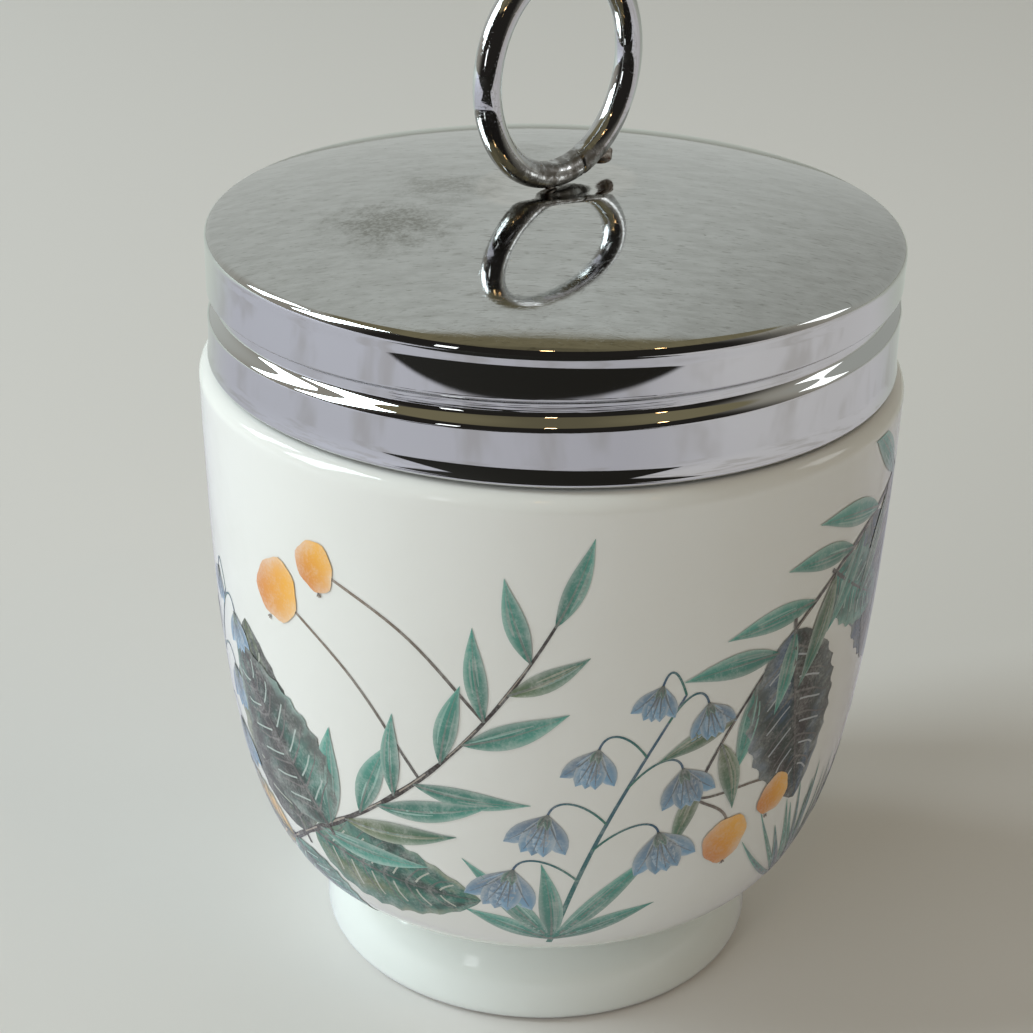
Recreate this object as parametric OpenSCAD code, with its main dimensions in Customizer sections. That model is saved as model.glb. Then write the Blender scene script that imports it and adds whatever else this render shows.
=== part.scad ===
// Egg coddler: a porcelain cup with a moulded thread, and a pressed chrome lid that screws on.
// A wire ring welded upright on the lid lifts it out of hot water.
// Origin: centre of the face that the foot stands on, +Z up. The ring lies in the XZ plane. Millimetres.

/* [Lid] */
// Outside diameter of the lid's skirt
lid_d = 68; // [60:0.5:76]
// Thickness of the pressed sheet
sheet = 0.55; // [0.4:0.05:0.7]
// Height of the skirt, from its lower edge to the start of the rounded rim
skirt_h = 12; // [11:0.25:16]
// Outside radius of the rounded rim
rim_round = 1; // [0.8:0.1:1.5]
// Rise of the domed top above the rounded rim
dome_rise = 3.8; // [2:0.1:6]
// Share of the dome that falls away near the rim, which leaves the middle flatter
dome_edge_share = 0.25; // [0:0.05:0.6]
// How far the skirt's lower edge flares outward
edge_flare = 0.15; // [0:0.05:0.3]
// Height of that flare
flare_h = 2; // [1:0.5:3]
// Radius of the shallow dimple that the weld leaves in the top
dimple_r = 7; // [5:0.5:9]
// Depth of the dimple
dimple_depth = 0.45; // [0.3:0.05:0.6]
// Width of the level seat around the weld
seat_margin = 0.4; // [0.3:0.05:0.8]

/* [Thread] */
// Rise of the thread in one turn
pitch = 5; // [4.5:0.25:6]
// Depth of the groove rolled into the skirt
roll_depth = 1; // [0.8:0.05:1.2]
// Width of the rolled groove
roll_w = 3.2; // [2.8:0.1:3.6]
// Height of the middle of the groove above the skirt's lower edge
roll_mid_h = 6.8; // [6:0.1:7.5]
// Angle about Z at which the groove is at that height
roll_mid_angle = -139.4; // [-180:0.1:180]
// Arc that the groove covers
roll_arc = 340; // [300:10:350]
// Width of the cup's moulded thread
ridge_w = 2.6; // [2.2:0.1:3]
// Arc that the cup's thread covers
ridge_arc = 260; // [200:10:300]
// Arc over which each thread fades out at either end
fade_arc = 25; // [15:5:40]
// Radial clearance between the two threads and the walls they face
thread_clear = 0.4; // [0.3:0.05:0.5]
// Clearance between the flanks of the two threads
flank_clear = 0.35; // [0.3:0.05:0.5]

/* [Lifting ring] */
// Outside diameter of the ring
ring_d = 23; // [18:0.5:30]
// Diameter of its wire
wire_d = 2.7; // [2:0.1:3.5]
// Depth to which the weld flattens the underside of the wire
weld_flat = 0.25; // [0.2:0.05:0.4]
// Radius of the weld nugget under the ring
weld_r = 2.4; // [1.5:0.1:3]
// Thickness of the nugget
weld_h = 0.25; // [0.2:0.05:0.4]

/* [Cup] */
// Height of the ledge that the lid's skirt stops above
ledge_z = 66.1; // [60:0.5:76]
// Gap between that ledge and the skirt's lower edge
lid_stand = 0.4; // [0.3:0.05:0.6]
// How far the cup's shoulder stands out past the skirt
shoulder_proud = 1.05; // [0.5:0.05:2]
// Radius of the rounded shoulder
shoulder_round = 1.7; // [1.2:0.1:2.2]
// Thickness of the cup's wall
wall = 3.2; // [2.4:0.1:4]
// Thickness of the neck's wall
neck_wall = 3; // [2.4:0.1:3.6]
// Radius of the fillet at the root of the neck
root_round = 0.6; // [0.4:0.05:0.9]
// Gap between the rim of the neck and the underside of the lid
rim_gap = 0.35; // [0.3:0.05:0.6]
// Growth of the bowl's radius that is even from waist to shoulder
bowl_draft = 1.3; // [0.5:0.1:2.5]
// How fast the bowl turns upright above its underside
bowl_turn = 3.1; // [2.6:0.1:4]
// How full the turn at the bottom of the bowl is
bowl_round = 2.65; // [2.2:0.05:3]
// Height of the inside of the cup's floor
floor_z = 11; // [10:0.25:12.5]

/* [Foot] */
// Height of the foot, up to the underside of the bowl
foot_h = 11; // [10:0.2:12.6]
// Radius of the foot where it is widest, just above its lower edge
foot_r = 23.3; // [22:0.1:24.5]
// Radius of the waist between the foot and the bowl
waist_r = 20.5; // [19.5:0.1:21.5]
// Radius of the hollow fillet at the waist
waist_round = 1.9; // [1.4:0.1:2.4]
// Radius of the foot's rounded lower edge
foot_round = 1.5; // [1.1:0.1:1.8]
// Width of the flat land that the foot stands on
land_w = 1.6; // [1.2:0.1:2.4]
// Bevel on the inner edge of that land
land_bevel = 0.4; // [0.2:0.05:0.6]
// Depth of the hollow under the foot
recess_h = 4.6; // [3:0.2:5]
// Radius of the rounded corner inside the hollow
recess_round = 2; // [1:0.1:2.4]
// How far the wall of the hollow leans inward
recess_lean = 1; // [0.5:0.1:1.5]

/* [Hidden] */
$fn = 96;

lid_r = lid_d / 2;
lid_bore_r = lid_r - sheet;
skirt_z = ledge_z + lid_stand;
round_z = skirt_z + skirt_h;
// The dome leans this much where it meets the rounded rim
rim_lean = atan(dome_rise / lid_r * 2 * (1 + dome_edge_share));
dome_r = lid_r - rim_round * (1 - sin(rim_lean));
dome_foot_z = round_z + rim_round * cos(rim_lean);
dome_top_z = dome_foot_z + dome_rise;
seat_z = dome_top_z - dimple_depth;
seat_r = weld_r + seat_margin;

roll_crest_r = lid_bore_r - roll_depth;
roll_z = skirt_z + roll_mid_h;
roll_inner_w = roll_w + sheet;
neck_r = roll_crest_r - thread_clear;
ridge_h = lid_bore_r - thread_clear - neck_r;
neck_bore_r = neck_r - neck_wall;
rim_z = dome_z(neck_r - neck_wall / 2) - sheet - rim_gap;

cup_r = lid_r + shoulder_proud;
shoulder_z = ledge_z - shoulder_round;
bowl_h = shoulder_z - foot_h;
// The bowl's underside starts where the fillet of the waist ends
underside_r = waist_r + waist_round;

weld_top_z = seat_z + weld_h;
ring_bend_r = (ring_d - wire_d) / 2;
ring_z = weld_top_z - weld_flat + ring_d / 2;

// How finely curves are drawn
arc_steps = 8;
dome_steps = 24;
bowl_steps = 24;
cavity_steps = 12;
thread_steps = 60;
flank_steps = 4;
// The bowl's points crowd towards its underside, where it turns fastest
crowding = 2.4;
// What is left of a thread's height at its very ends, which stays inside its clearance
faint = 0.01;
// Overlap that makes joined or cut bodies meet cleanly
bite = 0.3;
sliver = 0.02;
// Shares of the bowl's height at which the cavity starts and stops following the wall
cavity_low_u = 0.14;
cavity_high_u = 0.86;
// Pull of the curve between floor and wall: along the floor, and down the wall
floor_pull = 0.6;
wall_pull = 0.65;
// Step in u over which the bowl's slope is taken
slope_step = 0.001;

// Points on an arc in the section plane, about centre c, from angle a to angle b
function arc(c, r, a, b) =
    [for (i = [0:arc_steps])
        let (t = a + (b - a) * i / arc_steps)
        [c[0] + r * cos(t), c[1] + r * sin(t)]];

// A cubic curve through a and d that leaves and arrives along b and c
function cubic(a, b, c, d) =
    [for (i = [0:arc_steps])
        let (t = i / arc_steps, s = 1 - t)
        s ^ 3 * a + 3 * s ^ 2 * t * b + 3 * s * t ^ 2 * c + t ^ 3 * d];

function reversed(list) = [for (i = [len(list) - 1:-1:0]) list[i]];

// A list without its first point, to follow a curve that ends at that point
function after_first(list) = [for (i = [1:len(list) - 1]) list[i]];

// A smooth step from 0 to 1 as t goes from 0 to 1, held outside
function ease(t) = t <= 0 ? 0 : t >= 1 ? 1 : (1 - cos(180 * t)) / 2;

// ---- Lid ----

// Height of the outside of the lid's top at radius r, before the weld dimples it
function dome_z(r) =
    let (t = r / dome_r)
    dome_top_z - dome_rise * ((1 - dome_edge_share) * t ^ 2 + dome_edge_share * t ^ 4);

function dimple(r) = 1 - ease((r - seat_r) / (dimple_r - seat_r));

// The top with its dimple, level where the weld sits
function top_z(r) = dome_z(r) * (1 - dimple(r)) + seat_z * dimple(r);

// The top's section from radius end_r in to the middle, lowered by drop
function dome_points(drop, end_r) =
    [for (i = [0:dome_steps]) let (r = end_r * (1 - i / dome_steps)) [r, top_z(r) - drop]];

// The sheet's section, up the outside from the lower edge and back down the inside
module lid_section() {
    edge_r = sheet / 2;
    edge_c = [lid_r + edge_flare - edge_r, skirt_z + edge_r];
    rim_c = [lid_r - rim_round, round_z];
    inner_round = rim_round - sheet;
    polygon(concat(
        arc(edge_c, edge_r, -180, 0),
        [[lid_r, skirt_z + flare_h]],
        arc(rim_c, rim_round, 0, 90 - rim_lean),
        dome_points(0, dome_r),
        reversed(dome_points(sheet, rim_c[0] + inner_round * sin(rim_lean))),
        arc(rim_c, inner_round, 90 - rim_lean, 0),
        [[lid_bore_r, skirt_z + flare_h]]));
}

// ---- Helical threads ----

// One ring of a thread's section at angle a: a rounded wave that reaches from base_r to base_r + reach,
// closed at back_r. The angle is counted from the middle of the groove, and rise lifts the whole thread.
function thread_ring(a, arc_len, w, base_r, reach, back_r, rise) =
    let (
        fade = max(faint, ease((arc_len / 2 - abs(a)) / fade_arc)),
        z0 = roll_z + rise + pitch * a / 360,
        t = roll_mid_angle + a,
        wave = [for (i = [-flank_steps:flank_steps])
            let (s = i / flank_steps, r = base_r + reach * fade * (1 + cos(180 * s)) / 2)
            [r, z0 + w / 2 * s]],
        back = [[back_r, z0 + w / 2], [back_r, z0 - w / 2]]
    )
    [for (p = concat(wave, back)) [p[0] * cos(t), p[0] * sin(t), p[1]]];

// A thread as one swept solid. The section runs up its wave and down its back,
// so it turns one way when the back is outside the wave and the other way when it is inside.
module thread(arc_len, w, base_r, reach, back_r, rise = 0) {
    n = thread_steps;
    m = 2 * flank_steps + 3;
    points = [for (i = [0:n]) each
        thread_ring(arc_len * (i / n - 0.5), arc_len, w, base_r, reach, back_r, rise)];
    sides = [for (i = [0:n - 1], j = [0:m - 1])
        let (k = (j + 1) % m, a = i * m + j, b = i * m + k)
        each [[a, b, b + m], [a, b + m, a + m]]];
    ends = [[for (j = [m - 1:-1:0]) j], [for (j = [0:m - 1]) n * m + j]];
    faces = concat(sides, ends);
    back_outside = back_r > base_r;
    polyhedron(points, back_outside ? [for (f = faces) reversed(f)] : faces);
}

// Half the axial width of a thread of width w at the share h of its height
function half_w_at(w, h) = w / 2 * acos(2 * h - 1) / 180;

// ---- Pieces ----

module lid_shell() {
    color("silver")
    difference() {
        union() {
            rotate_extrude() lid_section();
            thread(roll_arc, roll_inner_w, lid_bore_r + sliver, -roll_depth - sliver, lid_bore_r + bite);
        }
        thread(roll_arc, roll_w, lid_r + sliver, -roll_depth - sliver, lid_r + bite);
    }
}

module lifting_ring() {
    color("gainsboro")
    difference() {
        translate([0, 0, ring_z]) rotate([90, 0, 0])
            rotate_extrude() translate([ring_bend_r, 0]) circle(d = wire_d);
        translate([-ring_d / 2, -wire_d, weld_top_z - wire_d]) cube([ring_d, 2 * wire_d, wire_d]);
    }
}

// A flat nugget, round about the axis, between the seat in the dimple and the flattened wire
module ring_weld() {
    color("dimgray")
    translate([0, 0, seat_z]) cylinder(h = weld_h, r1 = weld_r, r2 = weld_r - weld_h);
}

// Radius of the bowl's outside at the share u of the way from its underside to the shoulder
function bowl_r(u) =
    underside_r + bowl_draft * u
    + (cup_r - underside_r - bowl_draft) * (1 - (1 - u) ^ bowl_turn) ^ (1 / bowl_round);

function bowl_point(u) = [bowl_r(u), foot_h + bowl_h * u];

// Direction up along the bowl's outside
function bowl_slope(u) =
    let (d = bowl_point(u + slope_step) - bowl_point(u - slope_step))
    d / norm(d);

// The point one wall inside the bowl's outside
function bowl_inside(u) =
    let (d = bowl_slope(u))
    bowl_point(u) + wall * [-d[1], d[0]];

// The cavity, from the middle of the floor up to the neck's bore
function cavity_points() =
    let (
        low = bowl_inside(cavity_low_u),
        down = bowl_slope(cavity_low_u) * (low[1] - floor_z) * wall_pull,
        high = bowl_inside(cavity_high_u),
        span_u = cavity_high_u - cavity_low_u,
        bore = [neck_bore_r, ledge_z],
        half_rise = [0, (bore[1] - high[1]) / 2]
    )
    concat(
        cubic([0, floor_z], [low[0] * floor_pull, floor_z], low - down, low),
        [for (i = [1:cavity_steps]) bowl_inside(cavity_low_u + span_u * i / cavity_steps)],
        after_first(cubic(high, high + half_rise, bore - half_rise, bore)));

// The foot's outside: its lower edge, its swelling side, and the hollow fillet up to the bowl.
// The side is an arc that runs on smoothly into the fillet.
function foot_points() =
    let (
        fillet_c = [underside_r, foot_h - waist_round],
        out = foot_r - fillet_c[0],
        up = fillet_c[1] - foot_round,
        side_r = (out ^ 2 + up ^ 2 - waist_round ^ 2) / (2 * (out + waist_round)),
        tilt = atan2(up, side_r - out)
    )
    concat(
        arc([foot_r - foot_round, foot_round], foot_round, -90, 0),
        after_first(arc([foot_r - side_r, foot_round], side_r, 0, tilt)),
        after_first(arc(fillet_c, waist_round, 180 + tilt, 90)));

// The cup's section: recess, land, foot, bowl, shoulder, neck, rim and then down the cavity
module cup_section() {
    land_in_r = foot_r - foot_round - land_w;
    rim_r = neck_wall / 2;
    outside = concat(
        [[0, recess_h]],
        arc([land_in_r - recess_lean - recess_round, recess_h - recess_round], recess_round, 90, 0),
        [[land_in_r - land_bevel, land_bevel], [land_in_r, 0]],
        foot_points(),
        [for (i = [1:bowl_steps - 1]) bowl_point((i / bowl_steps) ^ crowding)],
        arc([cup_r - shoulder_round, shoulder_z], shoulder_round, 0, 90),
        arc([neck_r + root_round, ledge_z + root_round], root_round, 270, 180),
        arc([neck_r - rim_r, rim_z - rim_r], rim_r, 0, 180));
    polygon(concat(outside, reversed(cavity_points())));
}

module porcelain_cup() {
    ridge_mid_r = (roll_crest_r + neck_r + ridge_h) / 2;
    rise = half_w_at(roll_inner_w, (lid_bore_r - ridge_mid_r) / roll_depth)
        + half_w_at(ridge_w, (ridge_mid_r - neck_r) / ridge_h)
        + flank_clear;
    color("ivory")
    union() {
        rotate_extrude() cup_section();
        thread(ridge_arc, ridge_w, neck_r - sliver, ridge_h + sliver, neck_r - bite, rise);
    }
}

porcelain_cup();
lid_shell();
lifting_ring();
ring_weld();
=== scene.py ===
"""Looks of an egg coddler: a printed porcelain cup under a chromed screw lid with a wire ring.

Sizes are in millimetres and become metres where a mesh, a lamp or the camera is made. The frame
gives each piece's outer box, and the classes below give the curves between. Angles are in degrees.
"""
import logging
import math
from collections.abc import Callable, Sequence
from dataclasses import dataclass, field
from enum import Enum

import bpy
import numpy as np
from mathutils import Matrix, Vector


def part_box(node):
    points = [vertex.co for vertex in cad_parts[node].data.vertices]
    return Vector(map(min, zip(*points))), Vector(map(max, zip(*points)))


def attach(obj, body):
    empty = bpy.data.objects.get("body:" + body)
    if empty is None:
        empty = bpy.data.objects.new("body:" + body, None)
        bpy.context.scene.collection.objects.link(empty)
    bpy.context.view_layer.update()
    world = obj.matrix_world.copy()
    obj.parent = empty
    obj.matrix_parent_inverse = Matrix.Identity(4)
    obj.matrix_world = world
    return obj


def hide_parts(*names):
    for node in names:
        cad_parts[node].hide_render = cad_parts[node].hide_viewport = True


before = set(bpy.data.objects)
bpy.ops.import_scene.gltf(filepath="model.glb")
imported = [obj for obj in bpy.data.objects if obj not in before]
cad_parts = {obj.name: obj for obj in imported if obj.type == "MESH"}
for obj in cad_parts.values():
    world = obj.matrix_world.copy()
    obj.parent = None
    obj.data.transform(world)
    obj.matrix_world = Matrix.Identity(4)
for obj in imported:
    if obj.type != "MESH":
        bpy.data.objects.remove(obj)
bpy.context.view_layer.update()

LOG = logging.getLogger("coddler")
MM = 0.001
# The print's attributes: a stroke's colour, and how fully it covers the white
TINT, COVER = "tint", "cover"
# The side of the coddler that faces the camera, as an angle about Z
FRONT = -139.4

Array = np.ndarray
Colour = tuple[float, float, float]
Piece = bpy.types.Object
Material = bpy.types.Material
Tree = bpy.types.NodeTree
Node = bpy.types.Node
Socket = bpy.types.NodeSocket
Shape = Callable[[Array, Array, Array], tuple[Array, Array]]


# ---------------------------------------------------------------- curves


def ease(t: Array) -> Array:
    """A smooth step from 0 to 1 as t goes from 0 to 1, held outside."""
    return (1 - np.cos(np.pi * np.clip(t, 0, 1))) / 2


def arc(centre: Sequence[float], radius: float, start: float, end: float, steps: int = 10) -> Array:
    """Points on an arc in the section plane.

    Args:
        centre: The arc's centre, as radius and height.
        radius: The arc's own radius.
        start: The angle of its first point.
        end: The angle of its last point.
        steps: How many chords it is drawn with.

    Returns:
        The points, one a row.
    """
    angle = np.radians(np.linspace(start, end, steps + 1))
    return np.stack([centre[0] + radius * np.cos(angle), centre[1] + radius * np.sin(angle)], -1)


def cubic(a: Array, b: Array, c: Array, d: Array, steps: int = 24) -> Array:
    """Points on the cubic curve from a to d that leaves and arrives along b and c."""
    t = np.linspace(0, 1, steps + 1)[:, None]
    s = 1 - t
    return s**3 * a + 3 * s**2 * t * b + 3 * s * t**2 * c + t**3 * d


def joined(*runs: Array) -> Array:
    """Runs of points as one, without a point that repeats the one before it."""
    points = np.concatenate([np.atleast_2d(run) for run in runs])
    step = np.linalg.norm(np.diff(points, axis=0), axis=1)
    return points[np.concatenate([[True], step > 1e-6])]


def wrapped(angle: Array) -> Array:
    """An angle brought between -180 and 180."""
    return (angle + 180) % 360 - 180


@dataclass(frozen=True)
class Thread:
    """A helical wave on an upright wall, which fades out at both ends."""

    mid_z: float
    width: float
    reach: float
    arc: float
    pitch: float = 5.0
    mid_angle: float = FRONT
    fade: float = 25.0

    def section(self, along: Array) -> Array:
        """The wave's section, from 0 to 1, at a place from -1 to 1 up its width."""
        return (1 + np.cos(np.pi * np.clip(along, -1, 1))) / 2

    def offset(self, angle: Array, z: Array) -> Array:
        """How far the wave stands out from the wall at an angle and a height."""
        turn = wrapped(angle - self.mid_angle)
        along = (z - self.mid_z - self.pitch * turn / 360) / (self.width / 2)
        strength = ease((self.arc / 2 - np.abs(turn)) / self.fade)
        return self.reach * strength * self.section(along)


@dataclass(frozen=True)
class RolledGroove(Thread):
    """The same wave with a steep upper side and a gentler lower one, as a roller leaves them."""

    top: float = 0.85
    steep: float = 0.50
    gentle: float = 0.88

    def section(self, along: Array) -> Array:
        """The groove's section, from 0 to 1, at a place from -1 to 1 up its width."""
        return ease((self.top - along) / self.steep) * ease((along + 1) / self.gentle)


# ---------------------------------------------------------------- meshes


@dataclass(frozen=True)
class Box:
    """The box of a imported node, in millimetres."""

    low: Array
    high: Array

    @classmethod
    def of(cls, node: str) -> "Box":
        """Reads the box of the node with that name."""
        low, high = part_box(node)
        return cls(np.array(low) / MM, np.array(high) / MM)


def outward(points: Array, faces: Array) -> Array:
    """The faces of a closed mesh, turned round if they point inward."""
    corner = points[faces[:, 0]]
    volume = 0.0
    for k in range(1, faces.shape[1] - 1):
        cross = np.cross(points[faces[:, k]], points[faces[:, k + 1]])
        volume += float((corner * cross).sum())
    return faces if volume > 0 else faces[:, ::-1]


def new_piece(name: str, points: Array, faces: Sequence[Sequence[int]], crease: float = 40.0) -> Piece:
    """Makes a smooth mesh object, with its place in its mesh.

    Args:
        name: The piece's name.
        points: Its vertices in millimetres.
        faces: Its faces, as rows of vertex numbers.
        crease: The angle from which an edge stays sharp.

    Returns:
        The new object, linked to the scene.
    """
    mesh = bpy.data.meshes.new(name)
    mesh.from_pydata((points * MM).tolist(), [], [list(map(int, face)) for face in faces])
    mesh.shade_smooth()
    mesh.set_sharp_from_angle(angle=math.radians(crease))
    mesh.update()
    piece = bpy.data.objects.new(name, mesh)
    bpy.context.scene.collection.objects.link(piece)
    return piece


def turned(name: str, profile: Array, segments: int, shape: Shape) -> Piece:
    """Turns a section that starts and ends on the axis into a closed piece.

    Args:
        name: The piece's name.
        profile: The section's points, as radius and height.
        segments: How many steps there are round the axis.
        shape: Gives the true radius and height for an angle, a radius and a height of the section.

    Returns:
        The new object.
    """
    angle = np.arange(segments) * 360 / segments
    inner = profile[1:-1]
    grid_angle, grid_r = np.meshgrid(angle, inner[:, 0], indexing="ij")
    radius, height = shape(grid_angle, grid_r, np.broadcast_to(inner[:, 1], grid_r.shape))
    turn = np.radians(grid_angle)
    points = np.stack([radius * np.cos(turn), radius * np.sin(turn), height], -1).reshape(-1, 3)
    ends = []
    for end in (profile[0], profile[-1]):
        _, end_z = shape(np.zeros(1), np.zeros(1), end[1:2])
        ends.append([0, 0, float(end_z[0])])
    points = np.concatenate([points, ends])
    rows = len(inner)
    i = np.arange(segments)[:, None]
    j = np.arange(rows - 1)[None, :]
    k = (i + 1) % segments
    quads = np.stack([i * rows + j, k * rows + j, k * rows + j + 1, i * rows + j + 1], -1).reshape(-1, 4)
    quads = outward(points, quads)
    a = np.arange(segments)
    b = (a + 1) % segments
    first, last = segments * rows, segments * rows + 1
    start = np.stack([a * rows, b * rows, np.full(segments, first)], -1)
    stop = np.stack([a * rows + rows - 1, b * rows + rows - 1, np.full(segments, last)], -1)
    # The caps follow the quads: a shared edge runs the other way in each
    up = quads[0].tolist().index(0) < quads[0].tolist().index(rows)
    caps = np.concatenate([start[:, ::-1] if up else start, stop if up else stop[:, ::-1]])
    return new_piece(name, points, quads.tolist() + caps.tolist())


def dress(piece: Piece, material: Material, body: str) -> None:
    """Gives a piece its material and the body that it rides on."""
    piece.data.materials.clear()
    piece.data.materials.append(material)
    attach(piece, body)


# ---------------------------------------------------------------- node trees

class Flow:
    """A value that runs through a node tree, and takes part in sums as a number does."""

    def __init__(self, wiring: "Wiring", socket: Socket) -> None:
        """Takes up a node's output."""
        self.wiring = wiring
        self.socket = socket

    def math(self, operation: str, other: "Value" = 0.0) -> "Flow":
        """The result of an operation on this value, and on another one where it takes two."""
        return self.wiring.out("ShaderNodeMath", {0: self, 1: other}, operation=operation)

    def __add__(self, other: "Value") -> "Flow":
        """This value plus another."""
        return self.math("ADD", other)

    def __sub__(self, other: "Value") -> "Flow":
        """This value less another."""
        return self.math("SUBTRACT", other)

    def __mul__(self, other: "Value") -> "Flow":
        """This value times another."""
        return self.math("MULTIPLY", other)

    def __truediv__(self, other: "Value") -> "Flow":
        """This value over another."""
        return self.math("DIVIDE", other)

    def __rsub__(self, other: float) -> "Flow":
        """A number less this value."""
        return self * -1.0 + other

    __radd__ = __add__
    __rmul__ = __mul__

    def step(self, start: "Value", end: "Value", low: float = 0.0, high: float = 1.0) -> "Flow":
        """A smooth step from low to high as this value goes from start to end."""
        inputs = {0: self, 1: start, 2: end, 3: low, 4: high}
        return self.wiring.out("ShaderNodeMapRange", inputs, interpolation_type="SMOOTHSTEP")

    def mix(self, a: "Value", b: "Value") -> "Flow":
        """Colour a, turned into colour b as far as this value says."""
        inputs = {"Factor_Float": self, "A_Color": a, "B_Color": b}
        return self.wiring.out("ShaderNodeMix", inputs, "Result_Color", data_type="RGBA", clamp_factor=True)

    def bump(self, depth: float) -> "Flow":
        """The normal of a surface with this height, whose full step is depth millimetres."""
        return self.wiring.out("ShaderNodeBump", {"Height": self, "Distance": depth * MM, "Strength": 1.0})

    def scaled(self, *by: float) -> "Flow":
        """This vector times another, part by part."""
        return self.wiring.out("ShaderNodeVectorMath", {0: self, 1: by}, operation="MULTIPLY")

    def length_from(self, *centre: float) -> "Flow":
        """How far this vector's end lies from a point."""
        return self.wiring.out("ShaderNodeVectorMath", {0: self, 1: centre}, "Value", operation="DISTANCE")

    def turned(self, angle: float) -> "Flow":
        """This vector, turned about Z."""
        inputs = {"Vector": self, "Rotation": (0.0, 0.0, math.radians(angle))}
        return self.wiring.out("ShaderNodeVectorRotate", inputs, rotation_type="EULER_XYZ")

    def parts(self) -> tuple["Flow", ...]:
        """This vector's x, y and z."""
        node = self.wiring.node("ShaderNodeSeparateXYZ", {0: self})
        return tuple(Flow(self.wiring, socket) for socket in node.outputs)

    def noise(self, scale: float, detail: float = 2.0, roughness: float = 0.5) -> "Flow":
        """Smooth noise from 0 to 1 at this place, with scale waves a millimetre."""
        inputs = {"Vector": self, "Scale": scale, "Detail": detail, "Roughness": roughness}
        return self.wiring.out("ShaderNodeTexNoise", inputs, "Fac")


Value = Flow | float | tuple[float, ...] | Material
Inputs = dict[str | int, Value]


class Wiring:
    """Adds nodes to a node tree and links them."""

    def __init__(self, tree: Tree) -> None:
        """Starts on a tree, which may hold nodes already."""
        self.tree = tree

    @staticmethod
    def socket(sockets: Sequence[Socket], key: str | int) -> Socket:
        """The socket with a number, an identifier or a name."""
        if isinstance(key, int):
            return sockets[key]
        return next(socket for socket in sockets if key in (socket.identifier, socket.name))

    def feed(self, node: Node, inputs: Inputs) -> None:
        """Links a flow, or puts a constant, into each of a node's sockets that is named."""
        for key, value in inputs.items():
            target = self.socket(node.inputs, key)
            if isinstance(value, Flow):
                self.tree.links.new(value.socket, target)
            else:
                target.default_value = (*value, 1.0) if target.type == "RGBA" else value

    def node(self, kind: str, inputs: Inputs | None = None, **settings: object) -> Node:
        """Adds a node.

        Args:
            kind: The node's type name.
            inputs: What goes into its sockets.
            **settings: Properties of the node itself.

        Returns:
            The new node.
        """
        node = self.tree.nodes.new(kind)
        for name, setting in settings.items():
            setattr(node, name, setting)
        self.feed(node, inputs or {})
        return node

    def out(
        self, kind: str, inputs: Inputs | None = None, output: str | int = 0, **settings: object
    ) -> Flow:
        """Adds a node as node() does, and takes up the output with that number or name."""
        return Flow(self, self.socket(self.node(kind, inputs, **settings).outputs, output))

    def place(self) -> Flow:
        """The place on the piece, in millimetres."""
        return self.out("ShaderNodeTexCoord", output="Object").scaled(1 / MM, 1 / MM, 1 / MM)

    def group(self, group: Tree, **inputs: Value) -> Flow:
        """Places a node group that gives one value, with its inputs by name."""
        return self.out("ShaderNodeGroup", inputs, node_tree=group)


class SocketKind(Enum):
    """The kinds of socket that the groups use."""

    NUMBER = "NodeSocketFloat"
    VECTOR = "NodeSocketVector"
    MATERIAL = "NodeSocketMaterial"
    GEOMETRY = "NodeSocketGeometry"


class TreeKind(Enum):
    """The kinds of node tree that a group may be."""

    SHADER = "ShaderNodeTree"
    GEOMETRY = "GeometryNodeTree"


Sockets = dict[str, SocketKind]


def new_group(
    name: str, takes: Sockets, gives: Sockets, kind: TreeKind = TreeKind.SHADER
) -> tuple[Tree, dict[str, Flow]]:
    """Makes a group with its inputs.

    Args:
        name: The group's name.
        takes: The kind of each input, by name.
        gives: The kind of each output, by name.
        kind: The kind of tree.

    Returns:
        The group, and each input's flow by name.
    """
    group = bpy.data.node_groups.new(name, kind.value)
    for direction, sockets in (("INPUT", takes), ("OUTPUT", gives)):
        for socket_name, socket_kind in sockets.items():
            group.interface.new_socket(socket_name, in_out=direction, socket_type=socket_kind.value)
    wiring = Wiring(group)
    source = wiring.node("NodeGroupInput")
    return group, {key: Flow(wiring, source.outputs[key]) for key in takes}


def scratches_group() -> Tree:
    """Builds the group of hairline scratches that cross each other every way.

    Returns:
        A group that takes Place, in millimetres, and Density, and gives Height.
    """
    takes = {"Place": SocketKind.VECTOR, "Density": SocketKind.NUMBER}
    group, size = new_group("hairline_scratches", takes, {"Height": SocketKind.NUMBER})
    place, fine, long = size["Place"], 5.0, 0.16
    ways = [place.turned(turn).scaled(long, fine, fine).noise(1.0, 1.0) for turn in (12, 71, 128, 163)]
    lines = sum(streaks.step(0.66, 0.74) for streaks in ways)
    place.wiring.node("NodeGroupOutput", {"Height": lines * size["Density"]})
    return group


def speckle_group() -> Tree:
    """Builds the group of scattered specks, each a few tenths of a millimetre.

    Returns:
        A group that takes Place, in millimetres, and Scale, in cells a millimetre, and gives Mask.
    """
    takes = {"Place": SocketKind.VECTOR, "Scale": SocketKind.NUMBER}
    group, size = new_group("specks", takes, {"Mask": SocketKind.NUMBER})
    wiring = size["Place"].wiring
    cells = wiring.node("ShaderNodeTexVoronoi", {"Vector": size["Place"], "Scale": size["Scale"]})
    tint, apart = (Flow(wiring, cells.outputs[name]) for name in ("Color", "Distance"))
    wiring.node("NodeGroupOutput", {"Mask": tint.parts()[0].step(0.80, 0.82) * apart.step(0.05, 0.02)})
    return group


def new_material(name: str) -> tuple[Material, Wiring, Node]:
    """Makes a material.

    Args:
        name: The material's name.

    Returns:
        The material, its wiring and its surface's node.
    """
    material = bpy.data.materials.new(name)
    material.use_nodes = True
    return material, Wiring(material.node_tree), material.node_tree.nodes["Principled BSDF"]


# ---------------------------------------------------------------- finishes


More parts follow.
